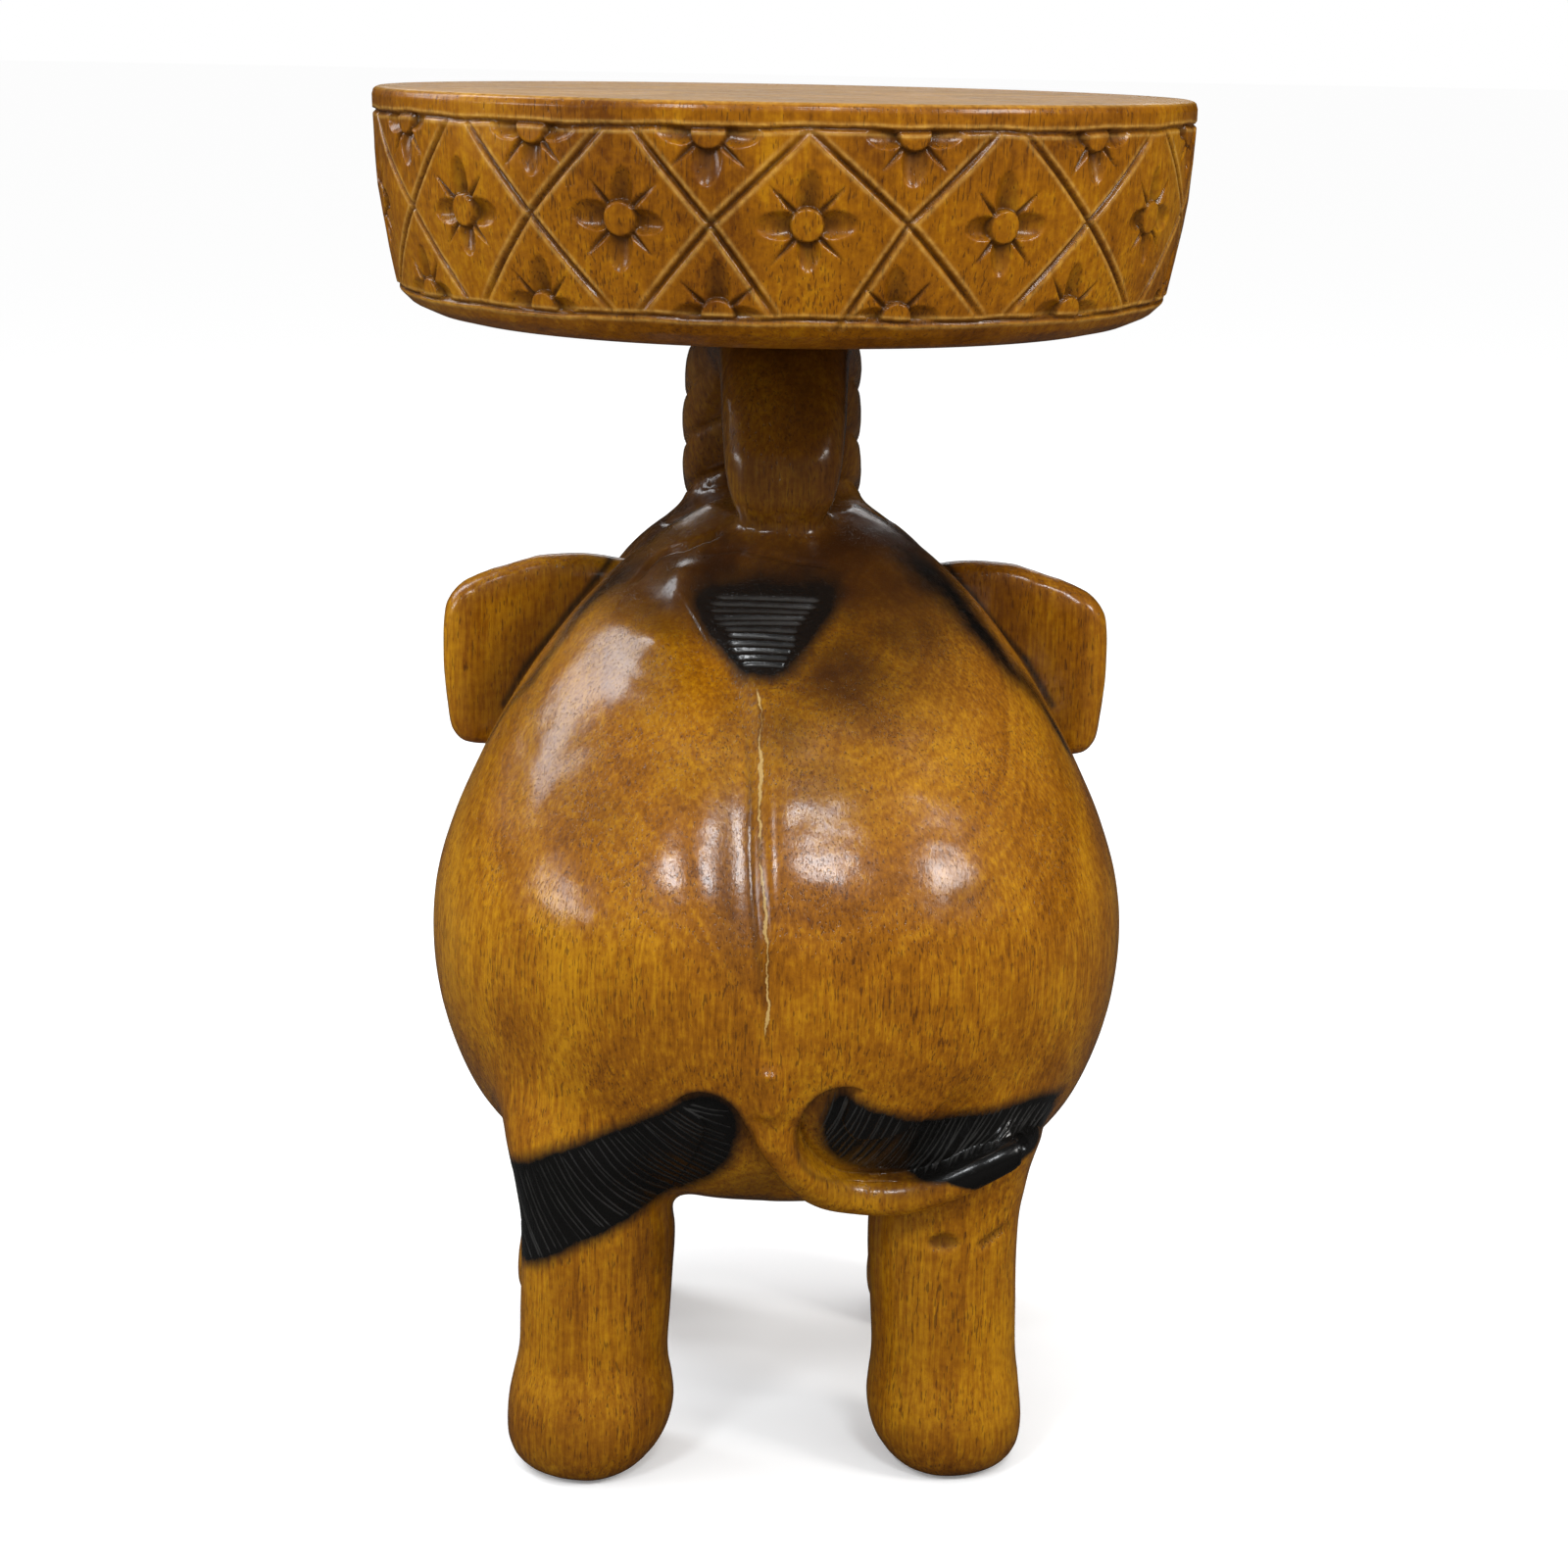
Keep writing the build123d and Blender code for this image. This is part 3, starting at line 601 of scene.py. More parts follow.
def seat_relief(s, z, turn):
    """Depth, shade, and lighter edges (wear and a painted highlight) of the lattice, flowers and border grooves, at arc
    length s (mm) and height z.
    """
    deep = np.zeros(len(s))
    shade = np.zeros(len(s))
    wear_and_sheen = np.zeros(len(s))
    flat = np.column_stack([s, z])
    per_degree = math.radians(ROUND)
    count = len(FLOWERS)
    crossings = [
        CROSSINGS[k] if k < len(CROSSINGS) else 0.5 * (FLOWERS[k] + (FLOWERS + [FLOWERS[0] + 360])[k + 1])
        for k in range(count)
    ]
    wavy_top = TOP_GROOVE + 0.35 * np.sin(5.2 * turn + 1) + 0.25 * np.sin(17 * turn) + 0.12 * np.sin(41 * turn)
    wavy_low = LOW_GROOVE + 0.4 * np.sin(4.1 * turn + 2) + 0.3 * np.sin(13 * turn) + 0.15 * np.sin(37 * turn)
    for k in range(count):
        cross = crossings[k] * per_degree
        left = FLOWERS[k] * per_degree
        right = (FLOWERS[k + 1] if k + 1 < count else FLOWERS[0] + 360) * per_degree
        middle = MIDDLE + chance.uniform(-0.8, 0.8)
        for wrap in (-360 * per_degree, 0, 360 * per_degree):
            for end, height, gap in (
                (left, TOP_GROOVE - 1, 0.8 if k == 3 else 5.5),
                (right, TOP_GROOVE - 1, 0.8 if k == 2 else 5.5),
                (left, LOW_GROOVE - 5 if k == 3 else LOW_GROOVE + 1.5, 10 if k == 3 else 5.5),
                (right, LOW_GROOVE + 1.5, 10 if k == 2 else 5.5),
            ):
                toward = gap if end == left else -gap
                a = np.array([cross + wrap, middle])
                b = np.array([end + toward + wrap, height])
                low, high = np.minimum(a, b) - 3, np.maximum(a, b) + 3
                near = np.flatnonzero(((flat > low) & (flat < high)).all(axis=1))
                if len(near):
                    distance, passed, _ = line_distance(flat[near], [a, b])
                    fade = 0.5 + 0.5 * rise(1 - passed, 0, 0.35)
                    deep[near] = np.maximum(deep[near], v_cut(distance, 1.25, 1.9) * fade)
                    shade[near] = np.maximum(shade[near], 0.72 * rise(1.35 - distance, 0, 1.1) * fade)
                    # Lighter just beside each cut: wear, and a painted highlight on its edge.
                    wear_and_sheen[near] = np.maximum(wear_and_sheen[near], 0.3 * np.exp(-(((distance - 1.9) / 0.6) ** 2)) * fade)
    for k in range(count):
        middle = 0.5 * (TOP_GROOVE + LOW_GROOVE) + chance.uniform(-0.8, 0.8)
        for angle, height, keep in (
            (FLOWERS[k], middle, None),
            (crossings[k] + chance.uniform(-0.8, 0.8), TOP_GROOVE - 1.2, "below"),
            (crossings[k] + chance.uniform(-0.8, 0.8), LOW_GROOVE + 0.6, "above"),
        ):
            centre = (angle + 180) % 360 - 180
            near, cut, dark = flower(s, z, centre * per_degree, height)
            kept = np.ones(len(near), bool)
            if keep == "below":
                kept = z[near] < wavy_top[near] - 0.5
            if keep == "above":
                kept = z[near] > wavy_low[near] + 0.5
            deep[near] = np.maximum(deep[near], cut * kept)
            shade[near] = np.maximum(shade[near], dark * kept)
    for wavy in (wavy_top, wavy_low):
        above = z - wavy
        deep = np.maximum(deep, np.where(above > 0, v_cut(above, 0.6, 1.5), v_cut(-above, 1.3, 1.5)))
        shade = np.maximum(shade, 0.72 * rise(1.1 - abs(above + 0.3), 0, 1.0))
        wear_and_sheen = np.maximum(wear_and_sheen, 0.35 * np.exp(-(((abs(above + 0.3) - 1.6) / 0.5) ** 2)))
    return deep, shade, wear_and_sheen * (1 - shade)


def carved_seat():
    """The seat: a turned disc, with its rim carved into a lattice of flowers."""
    around = 1560
    rows = [500.0] * 7 + list(np.linspace(499.6, 497.3, 5)) + list(np.linspace(496.8, 427.6, 127))
    rows += list(np.linspace(426.8, 418.05, 12)) + [418.0] * 5
    rows = np.array(rows)
    inner = np.concatenate([[12, 45, 80, 110, 135, 143, 147.2], np.zeros(len(rows) - 12), [112, 104, 80, 45, 12]])
    turn = np.arange(around) / around * 2 * math.pi - math.pi
    z, angle = [grid.ravel() for grid in np.meshgrid(rows, turn, indexing="ij")]
    radius = rim_radius(z)
    flat_part = np.repeat(inner, around)
    radius = np.where(flat_part > 0, flat_part, radius)
    side = (flat_part == 0) & (z > 426.5)
    s = np.radians(np.degrees(angle)) * ROUND
    deep, shade, wear_and_sheen = np.zeros((3, len(z)))
    deep[side], shade[side], wear_and_sheen[side] = seat_relief(s[side], z[side], angle[side])
    uneven = 0.35 * np.sin(3 * angle + 0.5) + 0.25 * np.sin(7 * angle + 1) + 0.15 * np.sin(0.2 * z + 5 * angle)
    radius = radius - deep - (0.35 + uneven * 0.5) * (flat_part == 0)
    x = radius * np.sin(angle)
    y = -radius * np.cos(angle)
    count = len(rows)
    index = np.arange(count * around).reshape(count, around)
    a = index[:-1].ravel()
    b = np.roll(index, -1, axis=1)[:-1].ravel()
    c = np.roll(index, -1, axis=1)[1:].ravel()
    d = index[1:].ravel()
    quads = np.column_stack([a, d, c, b])
    top, foot = count * around, count * around + 1
    spots = np.column_stack([x, y, z])
    spots = np.vstack([spots, [[0, 0, 500.0], [0, 0, 418.0]]])
    first, last = index[0], index[-1]
    faces = [list(q) for q in quads.tolist()]
    faces += [[int(p), int(q), top] for p, q in zip(first, np.roll(first, -1))]
    faces += [[int(q), int(p), foot] for p, q in zip(last, np.roll(last, -1))]
    mesh = bpy.data.meshes.new("carved_seat")
    mesh.from_pydata((spots * MM).tolist(), [], faces)
    mesh.update()
    keep_value(mesh, "shaded", np.append(shade, [0, 0]))
    # The top face is lighter too: wear, and a painted sheen where light grazes it.
    keep_value(mesh, "worn_and_sheen", np.maximum(np.append(wear_and_sheen, [0, 0]), 0.32 * rise(spots[:, 2], 498.8, 499.9)))
    return new_piece("carved_seat", mesh, ["seat"])


# ---------------------------------------------------------------- ears, tusks, eyes


def ear(side):
    """One ear: its board with softened edges, a dished back, and painted shade at its root against the head."""
    name = f"ear_{side}"
    mesh = wrapped([nodes[name].data], 2.5)
    relax(mesh, 80)
    mesh = halved(mesh)
    mesh.name = f"carved_{name}"
    spots = places(mesh)
    normals = facing(mesh)
    sign = 1 if side == "right" else -1
    out = sign * spots[:, 0]
    z = spots[:, 2]
    broad = rise(abs(normals[:, 1]), 0.75, 0.97)
    dish = np.exp(-(((out - 96) / 18) ** 2) - ((z - 284) / 24) ** 2)
    root = np.array(RIGHT_ROOT if side == "right" else LEFT_ROOT)[:, [0, 2]]
    gap = line_distance(spots[:, [0, 2]], root)[0]
    put(mesh, spots - normals * (1.8 * dish * broad)[:, None])
    # Painted shade near the root, where the ear meets the body.
    keep_value(mesh, "char_and_shadow", 0.8 * rise(3.0 - gap, 0, 3.0))
    keep_value(mesh, "stain_and_shade", (0.4 if side == "right" else 0.7) * rise(28 - gap, 0, 26))
    return new_piece(f"carved_{name}", mesh, [name])


def tusk(side):
    """One tusk, its facets rubbed smooth."""
    name = f"tusk_{side}"
    mesh = wrapped([nodes[name].data], 0.7)
    mesh.name = f"carved_{name}"
    relax(mesh, 12)
    return new_piece(f"carved_{name}", mesh, [name])


def eye(side):
    """One eye: a low glossy dome on its bead."""
    name = f"eye_{side}"
    mesh = wrapped([nodes[name].data], 0.35)
    mesh.name = f"polished_{name}"
    relax(mesh, 12)
    return new_piece(f"polished_{name}", mesh, [name])


# ---------------------------------------------------------------- finishes


def add(tree, kind, wires=None, **settings):
    """A node with its settings, and its inputs set to values or wired to outputs."""
    made = tree.nodes.new(kind)
    for key, value in settings.items():
        setattr(made, key, value)
    for key, value in (wires or {}).items():
        if isinstance(value, bpy.types.NodeSocket):
            tree.links.new(value, made.inputs[key])
        else:
            made.inputs[key].default_value = value
    return made


def sums(tree, operation, a, b=0.0, c=0.0):
    """The result of a Math node."""
    return add(tree, "ShaderNodeMath", {0: a, 1: b, 2: c}, operation=operation).outputs[0]


def ramp(tree, value, stops):
    """A colour ramp."""
    made = add(tree, "ShaderNodeValToRGB", {"Fac": value})
    band = made.color_ramp
    while len(band.elements) > 1:
        band.elements.remove(band.elements[-1])
    for k, (place, colour) in enumerate(stops):
        one = band.elements[0] if k == 0 else band.elements.new(place)
        one.position = place
        one.color = (*colour, 1)
    return made.outputs["Color"]


def blend(tree, share, under, over, kind="MIX"):
    """Two colours mixed."""
    made = tree.nodes.new("ShaderNodeMix")
    made.data_type = "RGBA"
    made.blend_type = kind
    sockets = {one.identifier: one for one in made.inputs}
    for key, value in (("Factor_Float", share), ("A_Color", under), ("B_Color", over)):
        if isinstance(value, bpy.types.NodeSocket):
            tree.links.new(value, sockets[key])
        else:
            sockets[key].default_value = value if key == "Factor_Float" else (*value, 1)
    return [one for one in made.outputs if one.identifier == "Result_Color"][0]


def remap(tree, value, low, high, to_low=0.0, to_high=1.0):
    """A value moved from one range to another, and kept within it."""
    wires = {"Value": value, "From Min": low, "From Max": high, "To Min": to_low, "To Max": to_high}
    return add(tree, "ShaderNodeMapRange", wires).outputs["Result"]


def effect(name, inputs, outputs):
    """An empty node group with named inputs and outputs."""
    group = bpy.data.node_groups.new(name, "ShaderNodeTree")
    for label, kind, value in inputs:
        socket = group.interface.new_socket(label, in_out="INPUT", socket_type=kind)
        if value is not None:
            socket.default_value = value
    for label, kind in outputs:
        group.interface.new_socket(label, in_out="OUTPUT", socket_type=kind)
    return group, group.nodes.new("NodeGroupInput").outputs, group.nodes.new("NodeGroupOutput").inputs


def log_grain():
    """Wood figure of an upright log: growth rings about its pith, long fibres, and open pores."""
    group, given, made = effect(
        "log grain",
        [("Place", "NodeSocketVector", None), ("Ring pitch", "NodeSocketFloat", 0.0024), ("Wander", "NodeSocketFloat", 0.014)],
        [("Rings", "NodeSocketFloat"), ("Bands", "NodeSocketFloat"), ("Fibres", "NodeSocketFloat"),
         ("Pores", "NodeSocketFloat"), ("Mottle", "NodeSocketFloat"), ("Flecks", "NodeSocketFloat")],
    )
    place = given["Place"]
    drift = add(group, "ShaderNodeTexNoise", {"Vector": place, "Scale": 12.0, "Detail": 3.0}).outputs["Fac"]
    parts = add(group, "ShaderNodeSeparateXYZ", {0: place})
    x = sums(group, "ADD", parts.outputs["X"], -0.012)
    y = sums(group, "ADD", parts.outputs["Y"], 0.062)
    out = sums(group, "SQRT", sums(group, "ADD", sums(group, "MULTIPLY", x, x), sums(group, "MULTIPLY", y, y)))
    out = sums(group, "ADD", out, sums(group, "MULTIPLY", drift, given["Wander"]))
    turns = sums(group, "DIVIDE", out, given["Ring pitch"])
    fine = add(group, "ShaderNodeTexNoise", {"W": turns, "Scale": 1.0, "Detail": 1.0}, noise_dimensions="1D").outputs["Fac"]
    group.links.new(remap(group, fine, 0.3, 0.7), made["Rings"])
    slow = sums(group, "MULTIPLY", turns, 0.17)
    wide = add(group, "ShaderNodeTexNoise", {"W": slow, "Scale": 1.0, "Detail": 2.0}, noise_dimensions="1D").outputs["Fac"]
    group.links.new(remap(group, wide, 0.3, 0.7), made["Bands"])
    long_way = add(group, "ShaderNodeMapping", {"Vector": place, "Scale": (760.0, 760.0, 48.0)}).outputs[0]
    fibres = add(group, "ShaderNodeTexNoise", {"Vector": long_way, "Scale": 1.0, "Detail": 4.0, "Roughness": 0.65}).outputs["Fac"]
    group.links.new(remap(group, fibres, 0.32, 0.68), made["Fibres"])
    dashes = add(group, "ShaderNodeMapping", {"Vector": place, "Scale": (1500.0, 1500.0, 190.0)}).outputs[0]
    pores = add(group, "ShaderNodeTexNoise", {"Vector": dashes, "Scale": 1.0, "Detail": 1.0}).outputs["Fac"]
    patchy = add(group, "ShaderNodeTexNoise", {"Vector": place, "Scale": 40.0, "Detail": 2.0}).outputs["Fac"]
    floor = remap(group, patchy, 0.3, 0.7, 0.68, 0.57)
    over = sums(group, "SUBTRACT", pores, floor)
    group.links.new(remap(group, over, 0.0, 0.06), made["Pores"])
    mottle = add(group, "ShaderNodeTexNoise", {"Vector": place, "Scale": 13.0, "Detail": 5.0, "Roughness": 0.6, "Distortion": 0.8})
    group.links.new(remap(group, mottle.outputs["Fac"], 0.32, 0.68), made["Mottle"])
    flecks = add(group, "ShaderNodeTexNoise", {"Vector": place, "Scale": 330.0, "Detail": 3.0, "Roughness": 0.6}).outputs["Fac"]
    group.links.new(remap(group, flecks, 0.3, 0.7), made["Flecks"])
    return group


def lacquer_film():
    """Height of a hand-rubbed lacquer film: slow waves from the tools, and dust nibs."""
    group, given, made = effect(
        "lacquer film",
        [("Place", "NodeSocketVector", None), ("Pores", "NodeSocketFloat", 0.0)],
        [("Height", "NodeSocketFloat"), ("Smear", "NodeSocketFloat")],
    )
    place = given["Place"]
    slow = add(group, "ShaderNodeTexNoise", {"Vector": place, "Scale": 34.0, "Detail": 2.0}).outputs["Fac"]
    peel = add(group, "ShaderNodeTexNoise", {"Vector": place, "Scale": 420.0, "Detail": 2.0}).outputs["Fac"]
    height = sums(group, "ADD", sums(group, "MULTIPLY", slow, 1.5), sums(group, "MULTIPLY", peel, 0.05))
    height = sums(group, "SUBTRACT", height, sums(group, "MULTIPLY", given["Pores"], 0.07))
    group.links.new(height, made["Height"])
    smear = add(group, "ShaderNodeTexNoise", {"Vector": place, "Scale": 60.0, "Detail": 5.0, "Roughness": 0.7})
    group.links.new(smear.outputs["Fac"], made["Smear"])
    return group


def filler_line():
    """A thin, wandering, broken line of pale filler in a dark crack. Off is the distance from its line in mm."""
    group, given, made = effect(
        "filler line",
        [("Place", "NodeSocketVector", None), ("Off", "NodeSocketFloat", 0.0), ("Part", "NodeSocketFloat", 0.0)],
        [("Filler", "NodeSocketFloat"), ("Gap", "NodeSocketFloat")],
    )
    place = given["Place"]
    bend = add(group, "ShaderNodeTexNoise", {"Vector": place, "Scale": 110.0, "Detail": 4.0, "Roughness": 0.7}).outputs["Fac"]
    off = sums(group, "ABSOLUTE", sums(group, "ADD", given["Off"], sums(group, "MULTIPLY_ADD", bend, 5.0, -2.5)))
    wide = add(group, "ShaderNodeTexNoise", {"Vector": place, "Scale": 70.0, "Detail": 3.0}).outputs["Fac"]
    half = remap(group, wide, 0.38, 0.62, 0.0, 0.75)
    line = sums(group, "MULTIPLY", remap(group, sums(group, "SUBTRACT", half, off), -0.15, 0.25), given["Part"])
    group.links.new(sums(group, "MULTIPLY", line, 0.8), made["Filler"])
    dark = sums(group, "MULTIPLY", remap(group, off, 1.2, 0.4), given["Part"])
    group.links.new(sums(group, "MULTIPLY", dark, 0.5), made["Gap"])
    return group


GRAIN = log_grain()
FILM = lacquer_film()
FILLER_LINE = filler_line()
GOLD = (0.53, 0.236, 0.003)
HONEY = (0.305, 0.105, 0.001)
AMBER = (0.145, 0.042, 0.001)
WALNUT = (0.060, 0.018, 0.0035)
UMBER = (0.035, 0.012, 0.004)
CHAR_AND_SHADE_BLACK = (0.0055, 0.005, 0.0045)
CHALK = (0.055, 0.053, 0.050)
FILLER = (0.62, 0.40, 0.13)


def lacquered_wood(name, warm=0.0, shift=(0.0, 0.0, 0.0), carved=False):
    """Honey-lacquered wood. It reads where the piece is charred or carries painted shade, where it is stained or
    filled, and, on the seat, the painted shade in its cuts and its lighter worn and sheened edges.
    """
    material = bpy.data.materials.new(name)
    material.use_nodes = True
    tree = material.node_tree
    tree.nodes.clear()
    where = add(tree, "ShaderNodeTexCoord").outputs["Object"]
    place = add(tree, "ShaderNodeMapping", {"Vector": where, "Location": shift}).outputs[0]
    grain = add(tree, "ShaderNodeGroup", node_tree=GRAIN)
    tree.links.new(place, grain.inputs["Place"])
    film = add(tree, "ShaderNodeGroup", node_tree=FILM)
    tree.links.new(place, film.inputs["Place"])
    tree.links.new(grain.outputs["Pores"], film.inputs["Pores"])
    shares = (0.44, 0.12, 0.08, 0.16, 0.26) if carved else (0.34, 0.20, 0.10, 0.36, 0.22)
    tone = sums(tree, "MULTIPLY_ADD", grain.outputs["Mottle"], shares[0], warm)
    for part, share in zip(("Bands", "Rings", "Fibres", "Flecks"), shares[1:]):
        tone = sums(tree, "MULTIPLY_ADD", grain.outputs[part], share, tone)
    colour = ramp(tree, tone, [(0.20, AMBER), (0.55, HONEY), (0.95, GOLD)])
    colour = blend(tree, sums(tree, "MULTIPLY", grain.outputs["Pores"], 0.55), colour, UMBER)
    if carved:
        # Painted shade in the seat's cuts.
        shaded = add(tree, "ShaderNodeAttribute", attribute_name="shaded").outputs["Fac"]
        colour = blend(tree, shaded, colour, (0.050, 0.017, 0.0035))
        # Lighter worn edges and top face: wear, with a painted sheen and highlight.
        worn_and_sheen = add(tree, "ShaderNodeAttribute", attribute_name="worn_and_sheen").outputs["Fac"]
        worn_and_sheen = sums(tree, "MULTIPLY", worn_and_sheen, sums(tree, "ADD", grain.outputs["Flecks"], 0.5))
        colour = blend(tree, worn_and_sheen, colour, (0.76, 0.46, 0.11))
    else:
        # Stains, with painted shade where the carving marked it.
        stain_and_shade = add(tree, "ShaderNodeAttribute", attribute_name="stain_and_shade").outputs["Fac"]
        uneven = sums(tree, "MULTIPLY_ADD", grain.outputs["Mottle"], -0.45, 1.12)
        share = sums(tree, "MULTIPLY", stain_and_shade, uneven)
        colour = blend(tree, share, colour, (0.040, 0.0135, 0.0035))
        crack_side = add(tree, "ShaderNodeAttribute", attribute_name="crack_side").outputs["Fac"]
        crack_part = add(tree, "ShaderNodeAttribute", attribute_name="crack_part").outputs["Fac"]
        filler = add(tree, "ShaderNodeGroup", {"Place": place, "Off": crack_side, "Part": crack_part}, node_tree=FILLER_LINE)
        colour = blend(tree, filler.outputs["Gap"], colour, WALNUT)
        colour = blend(tree, filler.outputs["Filler"], colour, FILLER)
        # Char, plus painted shade at the ear roots and under the tail's tip, all in one black.
        char_and_shadow = add(tree, "ShaderNodeAttribute", attribute_name="char_and_shadow").outputs["Fac"]
        patchy = sums(tree, "MULTIPLY_ADD", film.outputs["Smear"], 0.6, -0.3)
        share = remap(tree, sums(tree, "ADD", char_and_shadow, patchy), 0.12, 0.88)
        colour = blend(tree, share, colour, CHAR_AND_SHADE_BLACK)
        stroke = add(tree, "ShaderNodeAttribute", attribute_name="stroke").outputs["Fac"]
        dusty = remap(tree, sums(tree, "MULTIPLY", stroke, film.outputs["Smear"]), 0.15, 0.45, 0.0, 0.62)
        colour = blend(tree, sums(tree, "MULTIPLY", dusty, share), colour, CHALK)
    under = sums(tree, "MULTIPLY_ADD", grain.outputs["Fibres"], 0.05, film.outputs["Height"])
    bump = add(tree, "ShaderNodeBump", {"Height": under, "Strength": 1.0, "Distance": 0.001})
    skin = sums(tree, "MULTIPLY_ADD", grain.outputs["Fibres"], 0.022, film.outputs["Height"])
    over = add(tree, "ShaderNodeBump", {"Height": skin, "Strength": 0.8, "Distance": 0.001})
    rough = remap(tree, film.outputs["Smear"], 0.3, 0.7, 0.34, 0.52)
    shader = add(
        tree,
        "ShaderNodeBsdfPrincipled",
        {"Base Color": colour, "Roughness": rough, "Normal": bump.outputs[0], "Coat Weight": 0.55 if carved else 0.95,
         "Coat Roughness": 0.19, "Coat IOR": 1.5, "IOR": 1.35, "Specular IOR Level": 0.12,
         "Coat Normal": over.outputs[0]},
    )
    output = add(tree, "ShaderNodeOutputMaterial")
    tree.links.new(shader.outputs[0], output.inputs["Surface"])
    return material


def dress(piece, material):
    """Gives a piece its one material."""
    piece.data.materials.clear()
    piece.data.materials.append(material)


log_wood = lacquered_wood("honey_lacquered_log")
seat_wood = lacquered_wood("honey_lacquered_seat", -0.04, (0.31, 0.12, 0.4), True)
ear_wood = lacquered_wood("honey_lacquered_ears", -0.03, (0.5, 0.3, 0.1))

log = carved_log()
dress(log, log_wood)
seat = carved_seat()
dress(seat, seat_wood)
for side in ("right", "left"):
    dress(ear(side), ear_wood)


def plain_finish(name, colour, roughness, coat, grain_share):
    """A turned or carved small part with faint grain."""
    material = bpy.data.materials.new(name)
    material.use_nodes = True
    tree = material.node_tree
    tree.nodes.clear()
    place = add(tree, "ShaderNodeTexCoord").outputs["Object"]
    grain = add(tree, "ShaderNodeGroup", node_tree=GRAIN)
    tree.links.new(place, grain.inputs["Place"])
    film = add(tree, "ShaderNodeGroup", node_tree=FILM)
    tree.links.new(place, film.inputs["Place"])
    tree.links.new(grain.outputs["Pores"], film.inputs["Pores"])
    dark = tuple(0.55 * part for part in colour)
    share = sums(tree, "MULTIPLY", grain.outputs["Fibres"], grain_share)
    tinted = blend(tree, share, colour, dark)
    bump = add(tree, "ShaderNodeBump", {"Height": film.outputs["Height"], "Strength": 0.2, "Distance": 0.0008})
    rough = remap(tree, film.outputs["Smear"], 0.3, 0.7, roughness - 0.06, roughness + 0.08)
    shader = add(
        tree,
        "ShaderNodeBsdfPrincipled",
        {"Base Color": tinted, "Roughness": rough, "Normal": bump.outputs[0], "Coat Weight": coat, "Coat Roughness": 0.12},
    )
    output = add(tree, "ShaderNodeOutputMaterial")
    tree.links.new(shader.outputs[0], output.inputs["Surface"])
    return material


pale_tusk = plain_finish("pale_tusk_wood", (0.62, 0.50, 0.30), 0.4, 0.4, 0.7)
black_bead = plain_finish("polished_black_bead", (0.012, 0.009, 0.008), 0.14, 1.0, 0.2)
dowel_beech = plain_finish("plain_dowel_wood", (0.55, 0.36, 0.18), 0.6, 0.0, 0.8)
for side in ("right", "left"):
    dress(tusk(side), pale_tusk)
    dress(eye(side), black_bead)
for name in ("seat_dowel_front", "seat_dowel_rear"):
    for place in nodes[name].material_slots:
        place.material = dowel_beech
    if not nodes[name].material_slots:
        nodes[name].data.materials.append(dowel_beech)

# ---------------------------------------------------------------- studio


def pale_floor():
    """A plain pale floor."""
    half = 30.0
    mesh = bpy.data.meshes.new("studio_floor")
    mesh.from_pydata([(-half, -half, 0), (half, -half, 0), (half, half, 0), (-half, half, 0)], [], [(0, 1, 2, 3)])
    floor = bpy.data.objects.new("studio_floor", mesh)
    bpy.context.scene.collection.objects.link(floor)
    material = bpy.data.materials.new("pale_floor")
    material.use_nodes = True
    shader = material.node_tree.nodes["Principled BSDF"]
    path = add(material.node_tree, "ShaderNodeLightPath").outputs
    seen = sums(material.node_tree, "MULTIPLY_ADD", path["Is Diffuse Ray"], 0.5, path["Is Camera Ray"])
    shade = ramp(material.node_tree, seen, [(0.0, (0.03,) * 3), (0.5, (0.28, 0.265, 0.25)), (1.0, (0.95,) * 3)])
    glow = sums(material.node_tree, "MULTIPLY", path["Is Camera Ray"], 0.14)
    material.node_tree.links.new(glow, shader.inputs["Emission Strength"])
    shader.inputs["Emission Color"].default_value = (1, 1, 1, 1)
    material.node_tree.links.new(shade, shader.inputs["Base Color"])
    shader.inputs["Roughness"].default_value = 0.9
    shader.inputs["Specular IOR Level"].default_value = 0.0
    mesh.materials.append(material)
    return floor


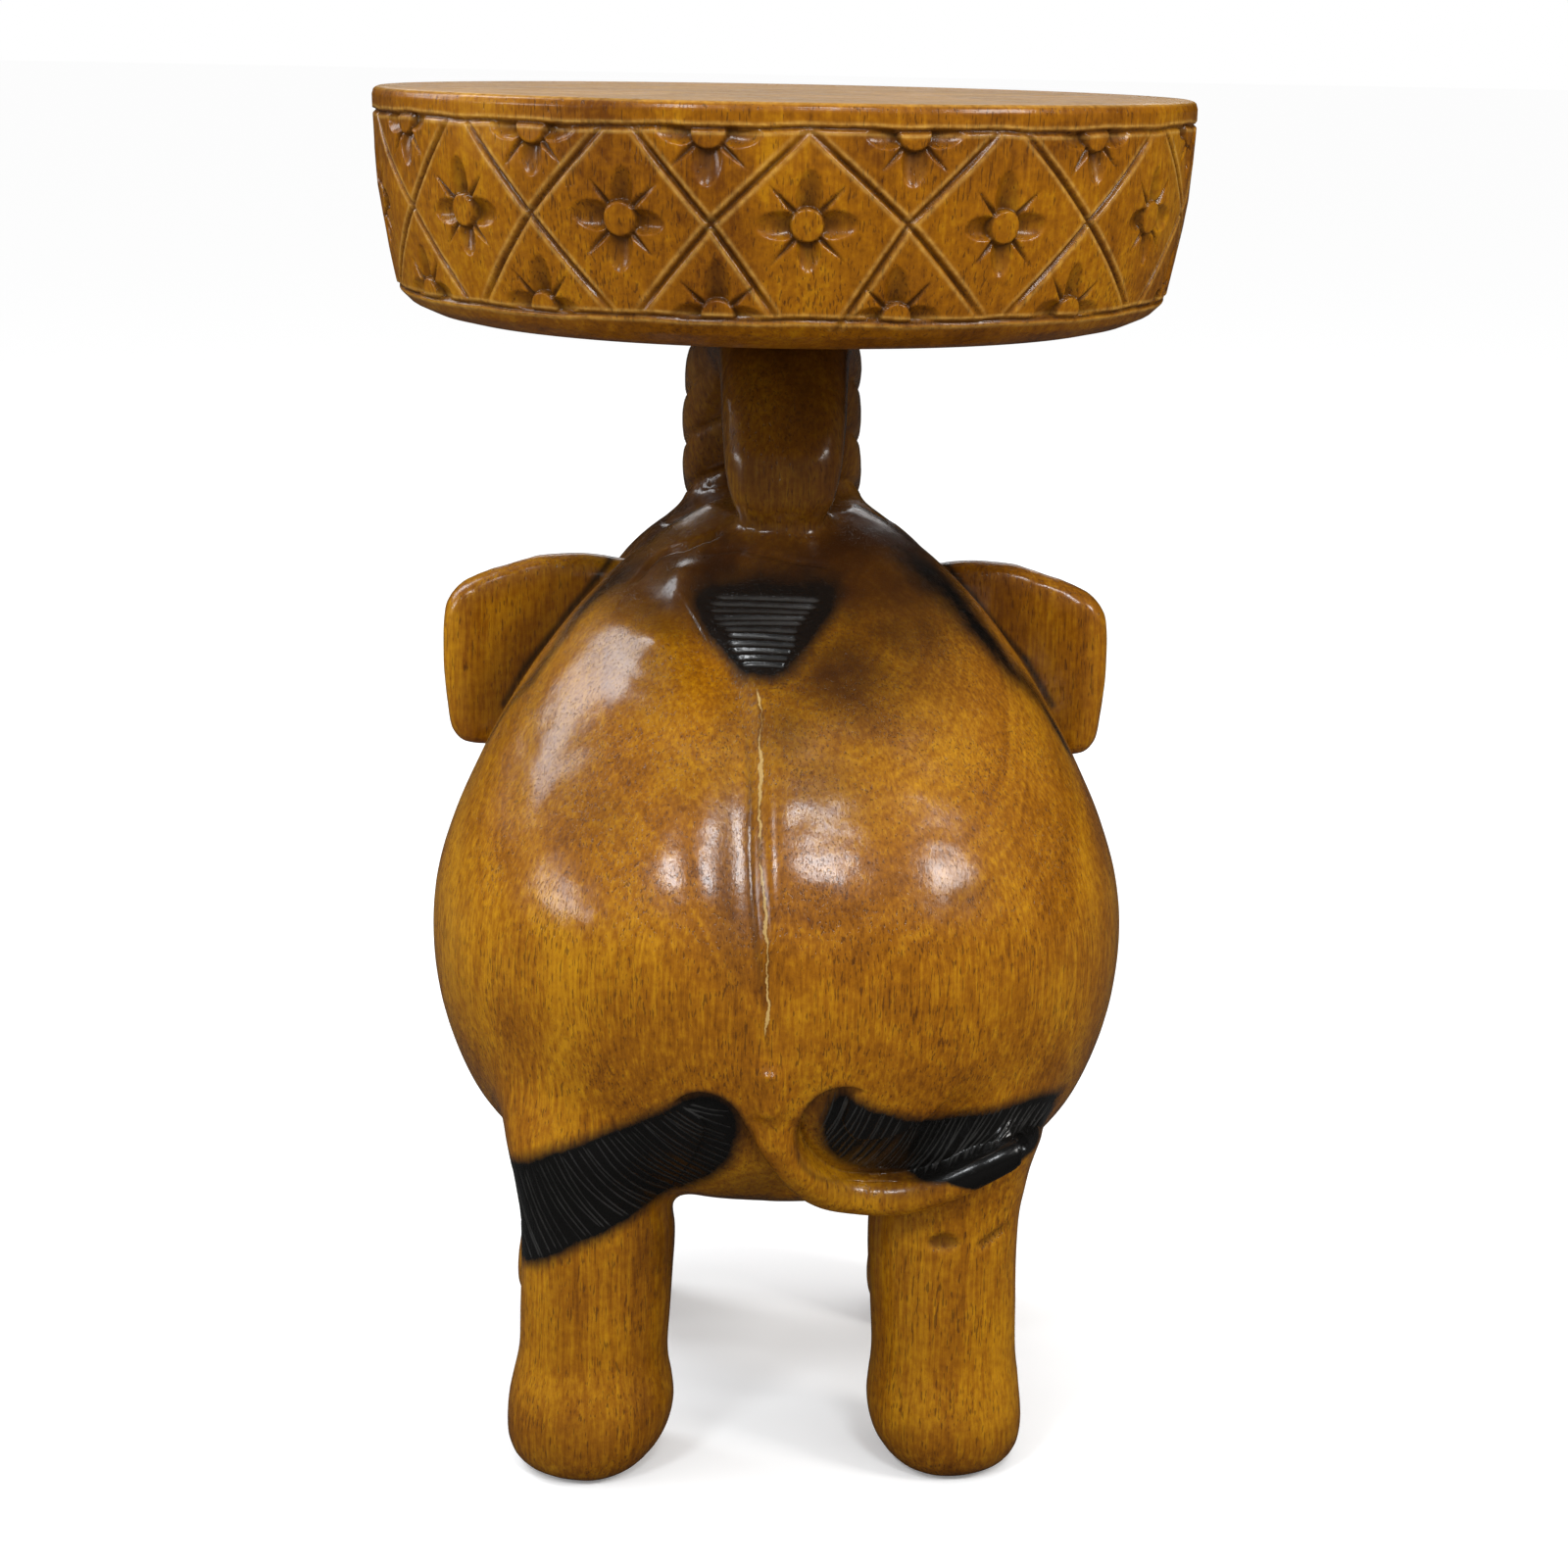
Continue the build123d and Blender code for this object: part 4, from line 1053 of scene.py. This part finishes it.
def soft_box(name, place, target, size, power, colour=(1, 1, 1)):
    """A soft area light that looks at a point."""
    data = bpy.data.lights.new(name, "AREA")
    data.shape = "RECTANGLE"
    data.size, data.size_y = size
    data.energy = power
    data.color = colour
    lamp = bpy.data.objects.new(name, data)
    bpy.context.scene.collection.objects.link(lamp)
    lamp.location = place
    lamp.rotation_euler = (Vector(target) - Vector(place)).to_track_quat("-Z", "Y").to_euler()
    return lamp


pale_floor()
soft_box("window_left", (-1.52, 0.64, 1.20), (0, 0, 0.28), (0.70, 0.70), 7.5, (0.90, 0.95, 1.0))
soft_box("window_low_left", (-1.89, -0.60, 0.76), (0, 0, 0.25), (0.80, 0.30), 6, (0.90, 0.95, 1.0))
soft_box("skylight_left", (-1.20, 0.45, 1.75), (0, 0, 0.3), (0.6, 0.6), 9, (0.92, 0.96, 1.0))
soft_box("lamp_left", (-0.68, -1.34, 1.40), (0, 0, 0.25), (0.30, 0.30), 7.5, (0.93, 0.97, 1.0))
soft_box("lamp_middle", (0.33, -1.31, 1.5), (0, 0, 0.25), (0.30, 0.30), 7.5, (0.93, 0.97, 1.0))
soft_box("lamp_right", (1.47, -0.82, 1.30), (0, 0, 0.25), (0.45, 0.45), 12, (1.0, 0.98, 0.95))
soft_box("wall_behind", (0, 3.2, 1.27), (0, 0, 0.5), (1.6, 0.5), 5.0)

world = bpy.data.worlds.new("studio_air")
bpy.context.scene.world = world
world.use_nodes = True
air = world.node_tree
air.nodes.clear()
seen = add(air, "ShaderNodeLightPath").outputs["Is Camera Ray"]
bright = sums(air, "MULTIPLY_ADD", seen, 0.12, 0.88)
glow = add(air, "ShaderNodeBackground", {"Color": (1.0, 1.0, 1.0, 1.0), "Strength": bright})
air.links.new(glow.outputs[0], add(air, "ShaderNodeOutputWorld").inputs["Surface"])
world.cycles_visibility.glossy = False
bpy.context.scene.view_settings.view_transform = "Standard"

camera = bpy.data.objects.new("camera", bpy.data.cameras.new("camera"))
bpy.context.scene.collection.objects.link(camera)
camera.data.sensor_width = 36.0
camera.data.lens = 72.9
camera.matrix_world = (
    Matrix.Translation((0.0046, -1.185, 0.526))
    @ Matrix.Rotation(math.radians(90 - 13.55), 4, "X")
    @ Matrix.Rotation(math.radians(1.1), 4, "Z")
)
bpy.context.scene.camera = camera
